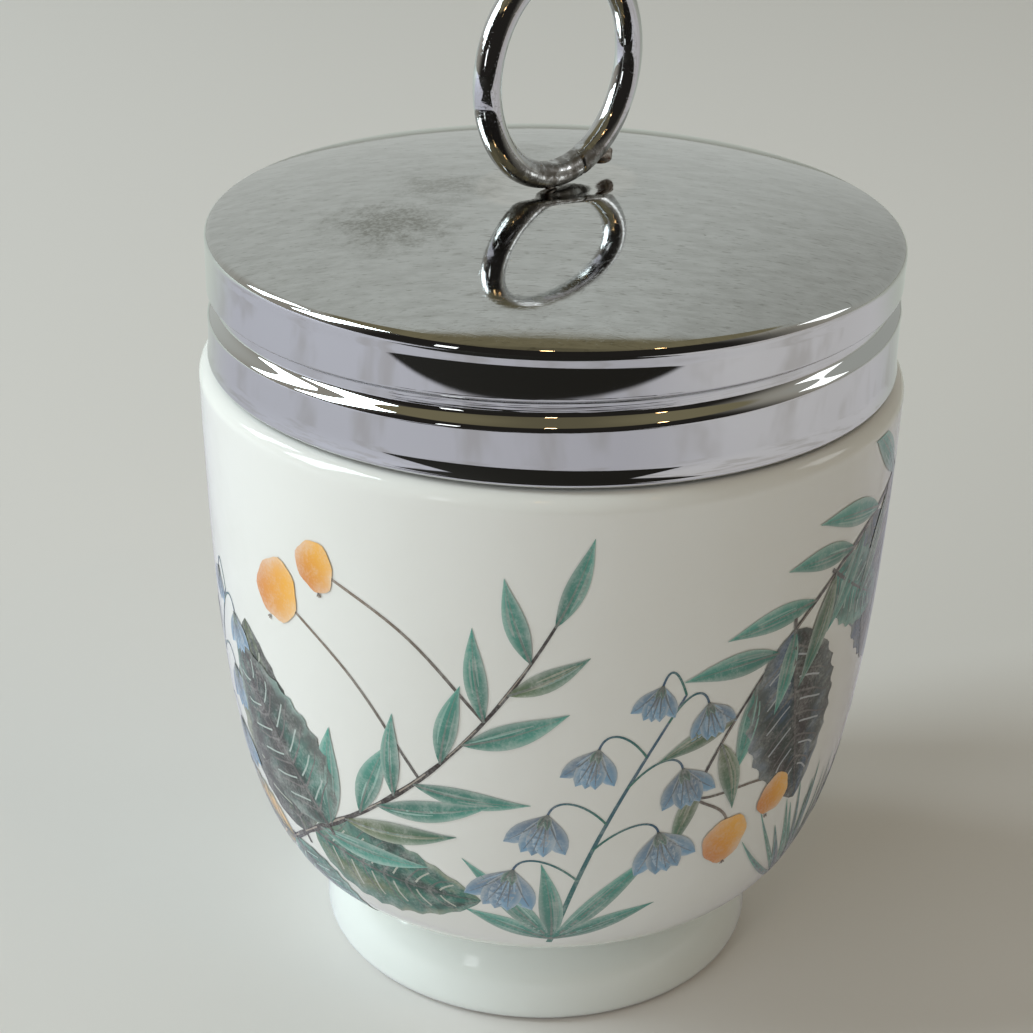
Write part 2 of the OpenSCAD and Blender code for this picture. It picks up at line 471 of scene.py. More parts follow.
@dataclass(frozen=True)
class Finish:
    """A finish: one material with its own colour and roughness, and what its kind adds to them."""

    name: str
    colour: Colour
    roughness: float

    def material(self) -> Material:
        """Builds the material."""
        material, wiring, surface = new_material(self.name)
        wiring.feed(surface, self.look(wiring.place()))
        return material

    def look(self, place: Flow) -> dict[str, Value]:
        """What goes into the surface's sockets, from the place on the piece."""
        return {"Base Color": self.colour, "Roughness": self.roughness}


@dataclass(frozen=True)
class Glaze(Finish):
    """Clear glaze over white porcelain, pooled and greener at the foot, with a bare foot ring."""

    pooled: Colour = (0.76, 0.80, 0.77)
    bare: Colour = (0.74, 0.72, 0.67)
    bare_rough: float = 0.6
    bare_z: float = 0.15
    glazed_z: float = 0.40
    pool_full_z: float = 11.0
    pool_end_z: float = 16.0
    unevenness: float = 0.12

    def tone(self, place: Flow) -> Flow:
        """The glazed body's colour at a place."""
        clouds = place.noise(0.06)
        pool = (place.parts()[2] + clouds * 4.0).step(self.pool_end_z, self.pool_full_z)
        return pool.mix((clouds * 0.10).mix(self.colour, self.pooled), self.pooled)

    def look(self, place: Flow) -> dict[str, Value]:
        """The pooled glaze, the bare foot ring and the faint unevenness of fired glaze."""
        land = place.parts()[2].step(self.glazed_z, self.bare_z)
        waves = place.noise(0.10) + place.noise(0.9) * 0.05
        return {
            "Base Color": land.mix(self.tone(place), self.bare),
            "Roughness": land.step(0.0, 1.0, self.roughness, self.bare_rough),
            "Normal": waves.bump(self.unevenness),
        }


@dataclass(frozen=True)
class PrintedGlaze(Glaze):
    """The same glaze over a printed stroke, whose colour thins out and granulates like a wash."""

    thinnest: float = 0.74

    def tone(self, place: Flow) -> Flow:
        """The stroke's own colour over the body's, as far as it covers."""
        tint = place.wiring.out("ShaderNodeAttribute", output="Color", attribute_name=TINT)
        cover = place.wiring.out("ShaderNodeAttribute", output="Fac", attribute_name=COVER)
        wash = place.noise(0.55, 3.0, 0.6) * 0.55 + place.noise(3.5, 3.0, 0.65) * 0.45
        return (cover * wash.step(0.30, 0.58, self.thinnest, 1.0)).mix(super().tone(place), tint)


@dataclass(frozen=True)
class Smudge:
    """A dull spot on the lid's top: its middle, its half size along X and Y, and how dark it is."""

    middle: tuple[float, float]
    half: tuple[float, float]
    strength: float

    def mask(self, place: Flow) -> Flow:
        """The spot as a ragged mask."""
        (x, y), (half_x, half_y) = self.middle, self.half
        apart = place.scaled(1 / half_x, 1 / half_y, 0.0).length_from(x / half_x, y / half_y, 0.0)
        ragged = apart + (place.noise(0.6, 4.0, 0.7) - 0.5) * 2.2
        spots = place.noise(2.6, 2.0, 0.6).step(0.34, 0.62, 0.45, 1.0)
        return ragged.step(1.25, 0.1) * spots * self.strength


@dataclass(frozen=True)
class LidChrome(Finish):
    """Chrome plate on pressed sheet: hazed, brushed and stained on the top, bright on the skirt."""

    top_z: float = 78.6
    least_haze: float = 0.015
    more_haze: float = 0.06
    stain: Colour = (0.30, 0.30, 0.275)
    smudges: tuple[Smudge, ...] = (
        Smudge((-18.6, 4.6), (5.5, 7.0), 0.90),
        Smudge((-8.0, 7.5), (5.0, 6.0), 0.60),
        Smudge((6.0, 9.5), (5.0, 4.0), 0.45),
    )
    brushed_way: float = -49.4
    # How dark the brushed grain, the short dashes in it and its woolly patches are
    grain_mark: float = 0.12
    dash_mark: float = 0.40
    wool_mark: float = 0.21
    speck_apart: float = 4.2
    # Welding left a pale haze round the ring's foot
    pale: Colour = (0.74, 0.73, 0.71)
    pale_reach: tuple[float, float, float] = (0.105, 0.135, 0.0)
    # The groove's helix: its height in front and its pitch
    groove_z: float = 73.3
    pitch: float = 5.0
    relief: float = 0.006

    def look(self, place: Flow) -> dict[str, Value]:
        """The worn top with its smudges and specks, and the drawn skirt with its upright lines."""
        top = place.parts()[2].step(self.top_z, self.top_z + 0.9)
        scratches = place.wiring.group(SCRATCHES, Place=place, Density=1.0)
        specks = place.wiring.group(SPECKS, Place=place, Scale=1 / self.speck_apart)
        brushed = place.turned(-self.brushed_way)
        grain = brushed.scaled(0.35, 1.6, 0.2).noise(2.4, 3.0, 0.65)
        dashes = brushed.scaled(0.9, 3.6, 0.2).noise(1.0, 2.0, 0.6)
        wool = brushed.scaled(0.6, 1.5, 0.2).noise(0.50, 2.5, 0.6)
        mottle = place.noise(0.16, 3.0)
        worn = mottle * self.more_haze + self.least_haze + scratches * 0.03
        marks = specks.math("MAXIMUM", dashes.step(0.57, 0.71) * self.dash_mark)
        for smudge in self.smudges:
            marks = marks.math("MAXIMUM", smudge.mask(place))
        marks = marks + grain.step(0.38, 0.66) * self.grain_mark + wool.step(0.34, 0.66) * self.wool_mark
        apart = place.scaled(*self.pale_reach).length_from(0.0, 0.0, 0.0)
        haze = apart.step(1.0, 0.85) * mottle.step(0.35, 0.6, 0.6, 1.0)
        fine = grain * 0.22 + scratches * 0.12 + (dashes + wool) * 0.22 - specks * 2.0
        upright = place.scaled(1.0, 1.0, 0.03).noise(2.6) * (1 - top) * 0.06
        return {
            "Base Color": (marks * top).mix(haze.mix(self.colour, self.pale), self.stain),
            "Metallic": 1.0,
            "Roughness": top * (worn - self.roughness) + self.roughness,
            "Normal": (fine * top + upright + self.roll_marks(place)).bump(self.relief),
        }

    def roll_marks(self, place: Flow) -> Flow:
        """Fine lines that the roller left along the upper half of the groove, as a height."""
        front, side, z = place.turned(-FRONT).parts()
        turn = side.math("ARCTAN2", front)
        level = z - turn * (self.pitch / (2 * math.pi)) - self.groove_z
        inside = level.step(-0.5, -0.2) * level.step(1.5, 1.2)
        stack = place.wiring.out("ShaderNodeCombineXYZ", {0: turn * 0.6, 1: 0.0, 2: level})
        return inside * stack.noise(4.5, 2.0, 0.6) * 2.2


@dataclass(frozen=True)
class RingChrome(Finish):
    """Bright chrome plate on wire, dulled and browned at the weld."""

    dull: Colour = (0.17, 0.155, 0.14)
    dull_rough: float = 0.34
    dull_z: float = 85.2
    bright_z: float = 87.4
    relief: float = 0.005

    def look(self, place: Flow) -> dict[str, Value]:
        """The dull stretch at the weld and light scratches."""
        low = place.parts()[2].step(self.bright_z, self.dull_z)
        dull = low * place.noise(0.7, 4.0, 0.65).step(0.30, 0.60)
        scratches = place.wiring.group(SCRATCHES, Place=place, Density=0.5)
        return {
            "Base Color": dull.mix(self.colour, self.dull),
            "Metallic": 1.0,
            "Roughness": dull.step(0.0, 1.0, self.roughness, self.dull_rough),
            "Normal": (scratches + place.noise(5.0, 3.0) * dull * 3.0).bump(self.relief),
        }


@dataclass(frozen=True)
class WeldMetal(Finish):
    """Grey and heat-browned metal of a resistance weld."""

    burnt: Colour = (0.10, 0.055, 0.035)
    burnt_rough: float = 0.5
    relief: float = 0.05

    def look(self, place: Flow) -> dict[str, Value]:
        """The burnt colour in patches and a grainy surface."""
        cloud = place.noise(0.9, 4.0, 0.6)
        return {
            "Base Color": cloud.step(0.40, 0.60).mix(self.colour, self.burnt),
            "Metallic": 1.0,
            "Roughness": cloud.step(0.3, 0.7, self.roughness, self.burnt_rough),
            "Normal": place.noise(3.0, 4.0, 0.6).bump(self.relief),
        }


GLAZE_WHITE: Colour = (0.80, 0.80, 0.77)
GLAZE_ROUGHNESS = 0.07
SCRATCHES = scratches_group()
SPECKS = speckle_group()


# ---------------------------------------------------------------- lid


@dataclass
class Lid:
    """The pressed lid: a domed top with the weld's dimple, a rounded rim and a skirt with a groove."""

    box: Box = field(default_factory=lambda: Box.of("lid_shell"))
    finish: LidChrome = LidChrome("lid_chrome", (0.66, 0.67, 0.665), 0.015)
    sheet: float = 0.55
    edge_flare: float = 0.15
    flare_h: float = 2.0
    skirt_h: float = 12.0
    rim_round: float = 1.0
    dome_rise: float = 3.8
    dome_edge_share: float = 0.25
    dimple_depth: float = 0.45
    dimple_long: float = 8.2
    dimple_short: float = 6.4
    seat_share: float = 0.38
    bead: float = 0.02
    bead_h: float = 1.0
    roll_depth: float = 1.0
    roll_w: float = 3.2
    roll_mid_h: float = 6.8
    roll_arc: float = 340.0
    segments: int = 320
    # The top's mesh is fine within this radius, which holds the dimple
    fine_r: float = 10.0

    def __post_init__(self) -> None:
        """Works out the heights and radii that follow from the box."""
        self.skirt_r = float(self.box.high[0]) - self.edge_flare
        self.skirt_z = float(self.box.low[2])
        self.round_z = self.skirt_z + self.skirt_h
        slope = self.dome_rise / self.skirt_r * 2 * (1 + self.dome_edge_share)
        self.rim_lean = math.degrees(math.atan(slope))
        lean = math.radians(self.rim_lean)
        self.dome_r = self.skirt_r - self.rim_round * (1 - math.sin(lean))
        self.dome_top_z = self.round_z + self.rim_round * math.cos(lean) + self.dome_rise
        self.seat_z = self.dome_top_z - self.dimple_depth
        roll_z = self.skirt_z + self.roll_mid_h
        self.groove = RolledGroove(roll_z, self.roll_w, self.roll_depth, self.roll_arc)
        self.inner_groove = Thread(roll_z, self.roll_w + self.sheet, self.roll_depth, self.roll_arc)

    def dome_z(self, radius: Array) -> Array:
        """Height of the top's outside at a radius, before the weld dimples it."""
        t = radius / self.dome_r
        share = self.dome_edge_share
        return self.dome_top_z - self.dome_rise * ((1 - share) * t**2 + share * t**4)

    def top_z(self, angle: Array, radius: Array) -> Array:
        """Height of the top's outside, with the oval dimple, at an angle and a radius."""
        turn = np.radians(angle)
        along, aside = radius * np.cos(turn), radius * np.sin(turn)
        across = np.hypot(along / self.dimple_long, aside / self.dimple_short)
        sunk = 1 - ease((across - self.seat_share) / (1 - self.seat_share))
        return self.dome_z(radius) * (1 - sunk) + self.seat_z * sunk

    def section(self) -> Array:
        """The sheet's section: from the middle of the top, out, down the skirt and back inside."""
        edge_r = self.sheet / 2
        edge_c = (self.skirt_r + self.edge_flare - edge_r, self.skirt_z + edge_r)
        rim_c = (self.skirt_r - self.rim_round, self.round_z)
        inner_round = self.rim_round - self.sheet
        flare_z = self.skirt_z + self.flare_h
        bore_r = self.skirt_r - self.sheet
        middle_r = np.linspace(0, self.fine_r, 42)[:-1]
        top_r = np.concatenate([middle_r, np.linspace(self.fine_r, self.dome_r, 26)])
        under_r = np.linspace(rim_c[0] + inner_round * math.sin(math.radians(self.rim_lean)), 0, 18)
        t = np.linspace(0, 1, 11)
        flare = np.stack([self.skirt_r + self.edge_flare * t**2, flare_z + (edge_c[1] - flare_z) * t], -1)
        down = np.linspace(self.round_z, flare_z, 124)
        up = np.linspace(flare_z, self.round_z, 36)
        return joined(
            np.stack([top_r, self.dome_z(top_r)], -1),
            arc(rim_c, self.rim_round, 90 - self.rim_lean, 0, 12),
            np.stack([np.full_like(down, self.skirt_r), down], -1),
            flare,
            arc(edge_c, edge_r, 0, -180, 10),
            np.stack([np.full_like(up, bore_r), up], -1),
            arc(rim_c, inner_round, 0, 90 - self.rim_lean, 4),
            np.stack([under_r, self.dome_z(under_r) - self.sheet], -1),
        )

    def shape(self, angle: Array, radius: Array, height: Array) -> tuple[Array, Array]:
        """Rolls the groove into the skirt and sinks the dimple into the top."""
        flat_z = self.dome_z(radius)
        outside = np.abs(height - flat_z) < 0.01
        inside = np.abs(height - flat_z + self.sheet) < 0.01
        near = radius < self.dimple_long + 1
        sunk = self.top_z(angle, radius) - flat_z
        new_height = height + np.where((outside | inside) & near, sunk, 0)
        on_skirt = height < self.round_z
        outer_wall = on_skirt & (radius > self.skirt_r - self.sheet / 2)
        inner_wall = on_skirt & ~outer_wall
        # The press left a faint bead under the rim
        bead = self.bead * ease((height - self.round_z) / self.bead_h + 1) * (radius / self.skirt_r) ** 8
        new_radius = radius - np.where(outer_wall, self.groove.offset(angle, height), 0) + bead
        new_radius = new_radius - np.where(inner_wall, self.inner_groove.offset(angle, height), 0)
        return new_radius, new_height

    def build(self) -> list[Piece]:
        """Makes the lid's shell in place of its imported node."""
        shell = turned("lid_shell_pressed", self.section(), self.segments, self.shape)
        dress(shell, self.finish.material(), "lid")
        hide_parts("lid_shell")
        return [shell]


# ---------------------------------------------------------------- ring and weld

WIRE_SIZES = (
    "Bend Radius", "Wire Radius", "Middle Height", "Foot Height", "Seam Angle", "Seam Skew",
    "Seam Depth", "Seam Half", "Flat Arc", "Flat Depth", "Steps Round", "Steps Wire",
)


def swept_wire_group() -> Tree:
    """Builds the geometry group that sweeps a round wire round a ring.

    Returns:
        A group that takes the ring's sizes in millimetres and degrees, and gives the wire in metres:
        notched at its butt joint, flattened at its foot and standing on its lowest height.
    """
    takes = {name: SocketKind.NUMBER for name in WIRE_SIZES} | {"Material": SocketKind.MATERIAL}
    group, size = new_group("swept_wire", takes, {"Geometry": SocketKind.GEOMETRY}, TreeKind.GEOMETRY)
    wiring = size["Material"].wiring
    curves = []
    for steps, radius in (("Steps Round", "Bend Radius"), ("Steps Wire", "Wire Radius")):
        sizes = {"Resolution": size[steps], "Radius": size[radius]}
        curves.append(wiring.out("GeometryNodeCurvePrimitiveCircle", sizes, "Curve"))
    swept = wiring.out("GeometryNodeCurveToMesh", {"Curve": curves[0], "Profile Curve": curves[1]}, "Mesh")
    x, y, across_y = wiring.out("GeometryNodeInputPosition").parts()
    bend = (x * x + y * y).math("SQRT")
    turn = x.math("ARCTAN2", y * -1.0).math("DEGREES")
    past_seam = turn - size["Seam Angle"] - across_y / size["Wire Radius"] * size["Seam Skew"]
    near = past_seam / size["Seam Half"]
    notch = (near * near * -1.0).math("EXPONENT") * size["Seam Depth"]
    # The wire's far end stands a little proud of its near end
    lip = past_seam.step(0.0, 2.0, 0.0, 0.03) * past_seam.step(12.0, 4.0)
    sunk = (notch - lip) / size["Wire Radius"]
    low = turn.math("ABSOLUTE").step(size["Flat Arc"], 0.0)
    flatter = low * 0.05
    across = (bend - size["Bend Radius"]) * (1.0 - sunk - flatter)
    # The welding electrode pressed a flat on the inner side, which is uppermost there
    level = low * size["Flat Depth"] - size["Wire Radius"]
    stretch = (size["Bend Radius"] + across.math("MAXIMUM", level)) / bend
    height = (size["Middle Height"] + y * stretch).math("MAXIMUM", size["Foot Height"])
    spot = {0: x * stretch, 1: across_y * (1.0 - sunk + flatter), 2: height}
    metres = wiring.out("ShaderNodeCombineXYZ", spot).scaled(MM, MM, MM)
    shaped = wiring.out("GeometryNodeSetPosition", {"Geometry": swept, "Position": metres})
    real = wiring.out("GeometryNodeRealizeInstances", {"Geometry": shaped})
    coated = wiring.out("GeometryNodeSetMaterial", {"Geometry": real, "Material": size["Material"]})
    wiring.node("NodeGroupOutput", {"Geometry": coated})
    return group


def grown(name: str, group: Tree, inputs: dict[str, float | Material]) -> Piece:
    """Makes a piece with a geometry group and keeps its result as a plain mesh.

    Args:
        name: The piece's name.
        group: The geometry group.
        inputs: The group's inputs, by name.

    Returns:
        The new object, without the modifier.
    """
    seed = bpy.data.meshes.new(f"{name}_seed")
    piece = bpy.data.objects.new(name, seed)
    bpy.context.scene.collection.objects.link(piece)
    modifier = piece.modifiers.new(group.name, "NODES")
    modifier.node_group = group
    for item in group.interface.items_tree:
        if item.in_out == "INPUT":
            modifier[item.identifier] = inputs[item.name]
    evaluated = piece.evaluated_get(bpy.context.evaluated_depsgraph_get())
    mesh = bpy.data.meshes.new_from_object(evaluated)
    piece.modifiers.remove(modifier)
    piece.data = mesh
    bpy.data.meshes.remove(seed)
    mesh.name = name
    points = np.array([vertex.co for vertex in mesh.vertices])
    faces = np.array([face.vertices for face in mesh.polygons])
    if outward(points, faces) is not faces:
        mesh.flip_normals()
    mesh.shade_smooth()
    return piece


@dataclass(frozen=True)
class WeldLump:
    """A lump of weld metal: its middle, its half length along X, Y and Z, and how lumpy it is."""

    name: str
    centre: tuple[float, float, float]
    half: tuple[float, float, float]
    seed: int
    lumps: float = 0.12
    waves: int = 7
    rows: int = 14
    sides: int = 24
    crease: float = 80.0

    def build(self) -> Piece:
        """Makes the lump."""
        rng = np.random.default_rng(self.seed)
        up = np.radians(np.linspace(-90, 90, self.rows + 1))[1:-1, None]
        turn = (np.arange(self.sides) * 2 * np.pi / self.sides)[None, :]
        ball = [np.cos(up) * np.cos(turn), np.cos(up) * np.sin(turn), np.sin(up) * np.ones_like(turn)]
        unit = np.concatenate([np.stack(ball, -1).reshape(-1, 3), [[0, 0, -1], [0, 0, 1]]])
        swell = np.ones(len(unit))
        for _ in range(self.waves):
            way = rng.normal(size=3)
            way /= np.linalg.norm(way)
            swell += self.lumps * np.sin(unit @ way * rng.uniform(2, 5) + rng.uniform(0, 6))
        bottom, top = len(unit) - 2, len(unit) - 1
        last = (self.rows - 2) * self.sides
        columns = [(j, (j + 1) % self.sides) for j in range(self.sides)]
        faces = []
        for low in range(0, last, self.sides):
            high = low + self.sides
            faces += [[low + j, low + m, high + m, high + j] for j, m in columns]
        faces += [[bottom, m, j] for j, m in columns]
        faces += [[top, last + j, last + m] for j, m in columns]
        points = np.array(self.centre) + unit * swell[:, None] * np.array(self.half)
        return new_piece(self.name, points, faces, self.crease)


@dataclass
class LiftingRing:
    """The wire ring that stands on the lid, flattened where it was welded, with its butt joint."""

    box: Box = field(default_factory=lambda: Box.of("lifting_ring"))
    finish: RingChrome = RingChrome("ring_chrome", (0.64, 0.65, 0.66), 0.035)
    weld_finish: WeldMetal = WeldMetal("weld_metal", (0.33, 0.30, 0.27), 0.30)
    seam_angle: float = 17.0
    seam_skew: float = 3.0
    seam_depth: float = 0.12
    seam_half: float = 0.7
    flat_arc: float = 42.0
    flat_depth: float = 0.16
    steps_round: int = 600
    steps_wire: int = 44
    nugget_x: float = -1.3
    nugget_rise: float = 0.08
    nub_spot: tuple[float, float, float] = (6.35, -0.3, 84.75)

    def __post_init__(self) -> None:
        """Works out the wire and its bend from the box."""
        low, high = self.box.low, self.box.high
        ring_radius = float(high[0] - low[0]) / 2
        self.wire_radius = float(high[1] - low[1]) / 2
        self.bend_radius = ring_radius - self.wire_radius
        self.middle_height = float(high[2]) - ring_radius
        self.foot_height = float(low[2])

    def build(self) -> list[Piece]:
        """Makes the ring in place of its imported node, and the metal that the weld squeezed out."""
        chrome = self.finish.material()
        sizes = {name: getattr(self, name.lower().replace(" ", "_")) for name in WIRE_SIZES}
        ring = grown("lifting_ring_wire", swept_wire_group(), sizes | {"Material": chrome})
        dress(ring, chrome, "lid")
        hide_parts("lifting_ring")
        weld = self.weld_finish.material()
        nugget_spot = (self.nugget_x, 0.0, self.foot_height + self.nugget_rise)
        nugget = WeldLump("ring_weld_nugget", nugget_spot, (1.25, 0.62, 0.24), 3).build()
        nub = WeldLump("weld_nub", self.nub_spot, (1.15, 0.8, 0.62), 8, 0.1).build()
        for lump in (nugget, nub):
            dress(lump, weld, "lid")
        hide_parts("ring_weld")
        return [ring, nugget, nub]


# ---------------------------------------------------------------- cup


@dataclass
class Bowl:
    """The outside of the cup between its waist and its shoulder."""

    foot_h: float = 11.0
    underside_r: float = 22.4
    draft: float = 1.3
    turn: float = 3.1
    fullness: float = 2.65
    shoulder_r: float = 35.05
    shoulder_z: float = 64.4
    wall: float = 3.2
    crowding: float = 2.4

    def shares(self, count: int) -> Array:
        """Shares of the way from the underside to the shoulder, closer together at the underside."""
        return np.linspace(0, 1, count) ** self.crowding

    def point(self, u: Array) -> Array:
        """The outside at the share u of the way from the underside to the shoulder."""
        u = np.asarray(u, float)
        spread = self.shoulder_r - self.underside_r - self.draft
        swell = (1 - (1 - u) ** self.turn) ** (1 / self.fullness)
        radius = self.underside_r + self.draft * u + spread * swell
        return np.stack([radius, self.foot_h + (self.shoulder_z - self.foot_h) * u], -1)

    def slope(self, u: Array) -> Array:
        """The direction up along the outside."""
        step = 0.001
        way = self.point(np.asarray(u) + step) - self.point(np.asarray(u) - step)
        return way / np.linalg.norm(way, axis=-1, keepdims=True)

    def inside(self, u: Array) -> Array:
        """The point one wall inside the outside."""
        way = self.slope(u)
        return self.point(u) + self.wall * np.stack([-way[..., 1], way[..., 0]], -1)


@dataclass
class Cup:
    """The porcelain cup: foot, bowl, shoulder, neck with its moulded thread, and cavity."""

    box: Box = field(default_factory=lambda: Box.of("porcelain_cup"))
    finish: Glaze = Glaze("porcelain_glaze", GLAZE_WHITE, GLAZE_ROUGHNESS)
    bowl: Bowl = field(default_factory=Bowl)
    ledge_z: float = 66.1
    shoulder_round: float = 1.7
    neck_r: float = 32.05
    neck_wall: float = 3.0
    root_round: float = 0.6
    ridge_h: float = 1.0
    ridge_w: float = 2.6
    ridge_arc: float = 260.0
    ridge_mid_z: float = 75.9
    floor_z: float = 11.0
    foot_r: float = 23.3
    foot_round: float = 1.5
    waist_round: float = 1.9
    land_w: float = 1.6
    land_bevel: float = 0.4
    recess_h: float = 4.6
    recess_round: float = 2.0
    recess_lean: float = 1.0
    # The cavity follows the outside between these shares of the bowl's height
    even_wall: tuple[float, float] = (0.14, 0.86)
    segments: int = 256

    def __post_init__(self) -> None:
        """Works out what follows from the box."""
        self.rim_z = float(self.box.high[2])
        self.bore_r = self.neck_r - self.neck_wall
        self.ridge = Thread(self.ridge_mid_z, self.ridge_w, self.ridge_h, self.ridge_arc)

    def foot(self) -> Array:
        """The foot's outside: its lower edge, its swelling side and the hollow fillet up to the bowl."""
        fillet = (self.bowl.underside_r, self.bowl.foot_h - self.waist_round)
        out, up = self.foot_r - fillet[0], fillet[1] - self.foot_round
        side_r = (out**2 + up**2 - self.waist_round**2) / (2 * (out + self.waist_round))
        tilt = math.degrees(math.atan2(up, side_r - out))
        return joined(
            arc((self.foot_r - self.foot_round, self.foot_round), self.foot_round, -90, 0, 12),
            arc((self.foot_r - side_r, self.foot_round), side_r, 0, tilt, 16),
            arc(fillet, self.waist_round, 180 + tilt, 90, 12),
        )

    def cavity(self) -> Array:
        """The cavity, from the neck's bore down to the middle of the floor."""
        low_u, high_u = self.even_wall
        low, high = self.bowl.inside(low_u), self.bowl.inside(high_u)
        down = self.bowl.slope(low_u) * (low[1] - self.floor_z) * 0.65
        bore = np.array([self.bore_r, self.ledge_z])
        half = np.array([0, (bore[1] - high[1]) / 2])
        middle, floor = np.array([0, self.floor_z]), np.array([low[0] * 0.6, self.floor_z])
        up = joined(
            cubic(middle, floor, low - down, low, 20),
            self.bowl.inside(np.linspace(low_u, high_u, 24)),
            cubic(high, high + half, bore - half, bore, 8),
        )
        return up[::-1]

    def section(self) -> Array:
        """The cup's section: recess, land, foot, bowl, shoulder, neck, rim and down the cavity."""
        land_in = self.foot_r - self.foot_round - self.land_w
        recess_c = (land_in - self.recess_lean - self.recess_round, self.recess_h - self.recess_round)
        rim_r = self.neck_wall / 2
        shoulder_c = (self.bowl.shoulder_r - self.shoulder_round, self.bowl.shoulder_z)
        root_c = (self.neck_r + self.root_round, self.ledge_z + self.root_round)
        neck_z = np.linspace(root_c[1], self.rim_z - rim_r, 58)
        return joined(
            [[0, self.recess_h], [recess_c[0] / 2, self.recess_h]],
            arc(recess_c, self.recess_round, 90, 0, 8),
            [[land_in - self.land_bevel, self.land_bevel], [land_in, 0]],
            self.foot(),
            self.bowl.point(self.bowl.shares(92)[:-1]),
            arc(shoulder_c, self.shoulder_round, 0, 90, 12),
            arc(root_c, self.root_round, 270, 180, 8),
            np.stack([np.full_like(neck_z, self.neck_r), neck_z], -1),
            arc((self.neck_r - rim_r, self.rim_z - rim_r), rim_r, 0, 180, 12),
            self.cavity(),
        )

    def shape(self, angle: Array, radius: Array, height: Array) -> tuple[Array, Array]:
        """Raises the thread on the neck."""
        on_neck = (height > self.ledge_z) & (radius > self.neck_r - 0.1)
        return radius + np.where(on_neck, self.ridge.offset(angle, height), 0), height

    def build(self) -> list[Piece]:
        """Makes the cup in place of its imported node."""
        cup = turned("porcelain_cup_body", self.section(), self.segments, self.shape)
        dress(cup, self.finish.material(), "cup")
        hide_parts("porcelain_cup")
        return [cup]


# ---------------------------------------------------------------- print


class Paint(Enum):
    """The print's colours as they look on a screen, from 0 to 255."""

    TEAL = (12, 108, 92)
    SEA = (60, 150, 134)
    BLUE = (86, 144, 184)
    SLATE = (40, 78, 112)
    OCHRE = (242, 176, 52)
    AMBER = (206, 116, 36)
    TWIG = (44, 33, 28)
    BARK = (122, 100, 78)
    OLIVE = (92, 104, 56)
    MOSS = (30, 52, 42)

    @property
    def light(self) -> Array:
        """The colour as the shader takes it."""
        share = np.array(self.value) / 255
        return np.where(share < 0.04045, share / 12.92, ((share + 0.055) / 1.055) ** 2.4)


def plane(x: float, y: float) -> Array:
    """A point or a way on the flat canvas."""
    return np.array([x, y], float)


def heading(angle: float) -> Array:
    """The way that an angle points on the canvas."""
    return plane(math.cos(math.radians(angle)), math.sin(math.radians(angle)))


@dataclass
class Blade:
    """A leaf's own frame on the canvas: along its midrib and across it."""

    root: Array
    angle: float
    length: float
    width: float
    bend: float = 0.0
    belly: float = 0.85
    point: float = 1.1
    teeth: int = 0

    def rib(self, t: Array) -> Array:
        """The midrib at the share t of the way to the tip."""
        t = np.asarray(t, float)
        along, side = heading(self.angle), heading(self.angle + 90)
        return self.root + self.length * (t[..., None] * along + (self.bend * t**2)[..., None] * side)

    def half(self, t: Array) -> Array:
        """Half the leaf's width at t."""
        shape = np.sin(np.pi * np.clip(t, 0, 1) ** self.belly) ** self.point
        notch = 1 - 0.10 * np.abs(np.sin(np.pi * self.teeth * t)) if self.teeth else 1.0
        return self.width / 2 * shape * notch + 0.02

    def at(self, t: Array, side: Array) -> Array:
        """The point at t along the midrib and at side, from -1 to 1, across it."""
        t, side = np.broadcast_arrays(np.asarray(t, float), np.asarray(side, float))
        way = self.rib(t + 0.01) - self.rib(t - 0.01)
        way = way / np.linalg.norm(way, axis=-1, keepdims=True)
        across = np.stack([-way[..., 1], way[..., 0]], -1)
        return self.rib(t) + (side * self.half(t))[..., None] * across


def nearest(path: Array, place: Array) -> Array:
    """The point of a path that lies closest to a place."""
    return path[int(np.argmin(np.linalg.norm(path - place, axis=1)))]


@dataclass(frozen=True)
class Sprout:
    """A broad leaf on a stem: the stem's point it grows from, its lie, its size and its colours."""

    joint: int
    angle: float
    length: float
    width: float
    bend: float
    teeth: int
    paints: tuple[Paint, Paint, Paint]
    belly: float = 0.80
    point: float = 0.75

    def leaf(self, stem: Array) -> Blade:
        """The leaf's frame on its stem."""
        size = (self.length, self.width, self.bend, self.belly, self.point, self.teeth)
        return Blade(stem[self.joint], self.angle, *size)


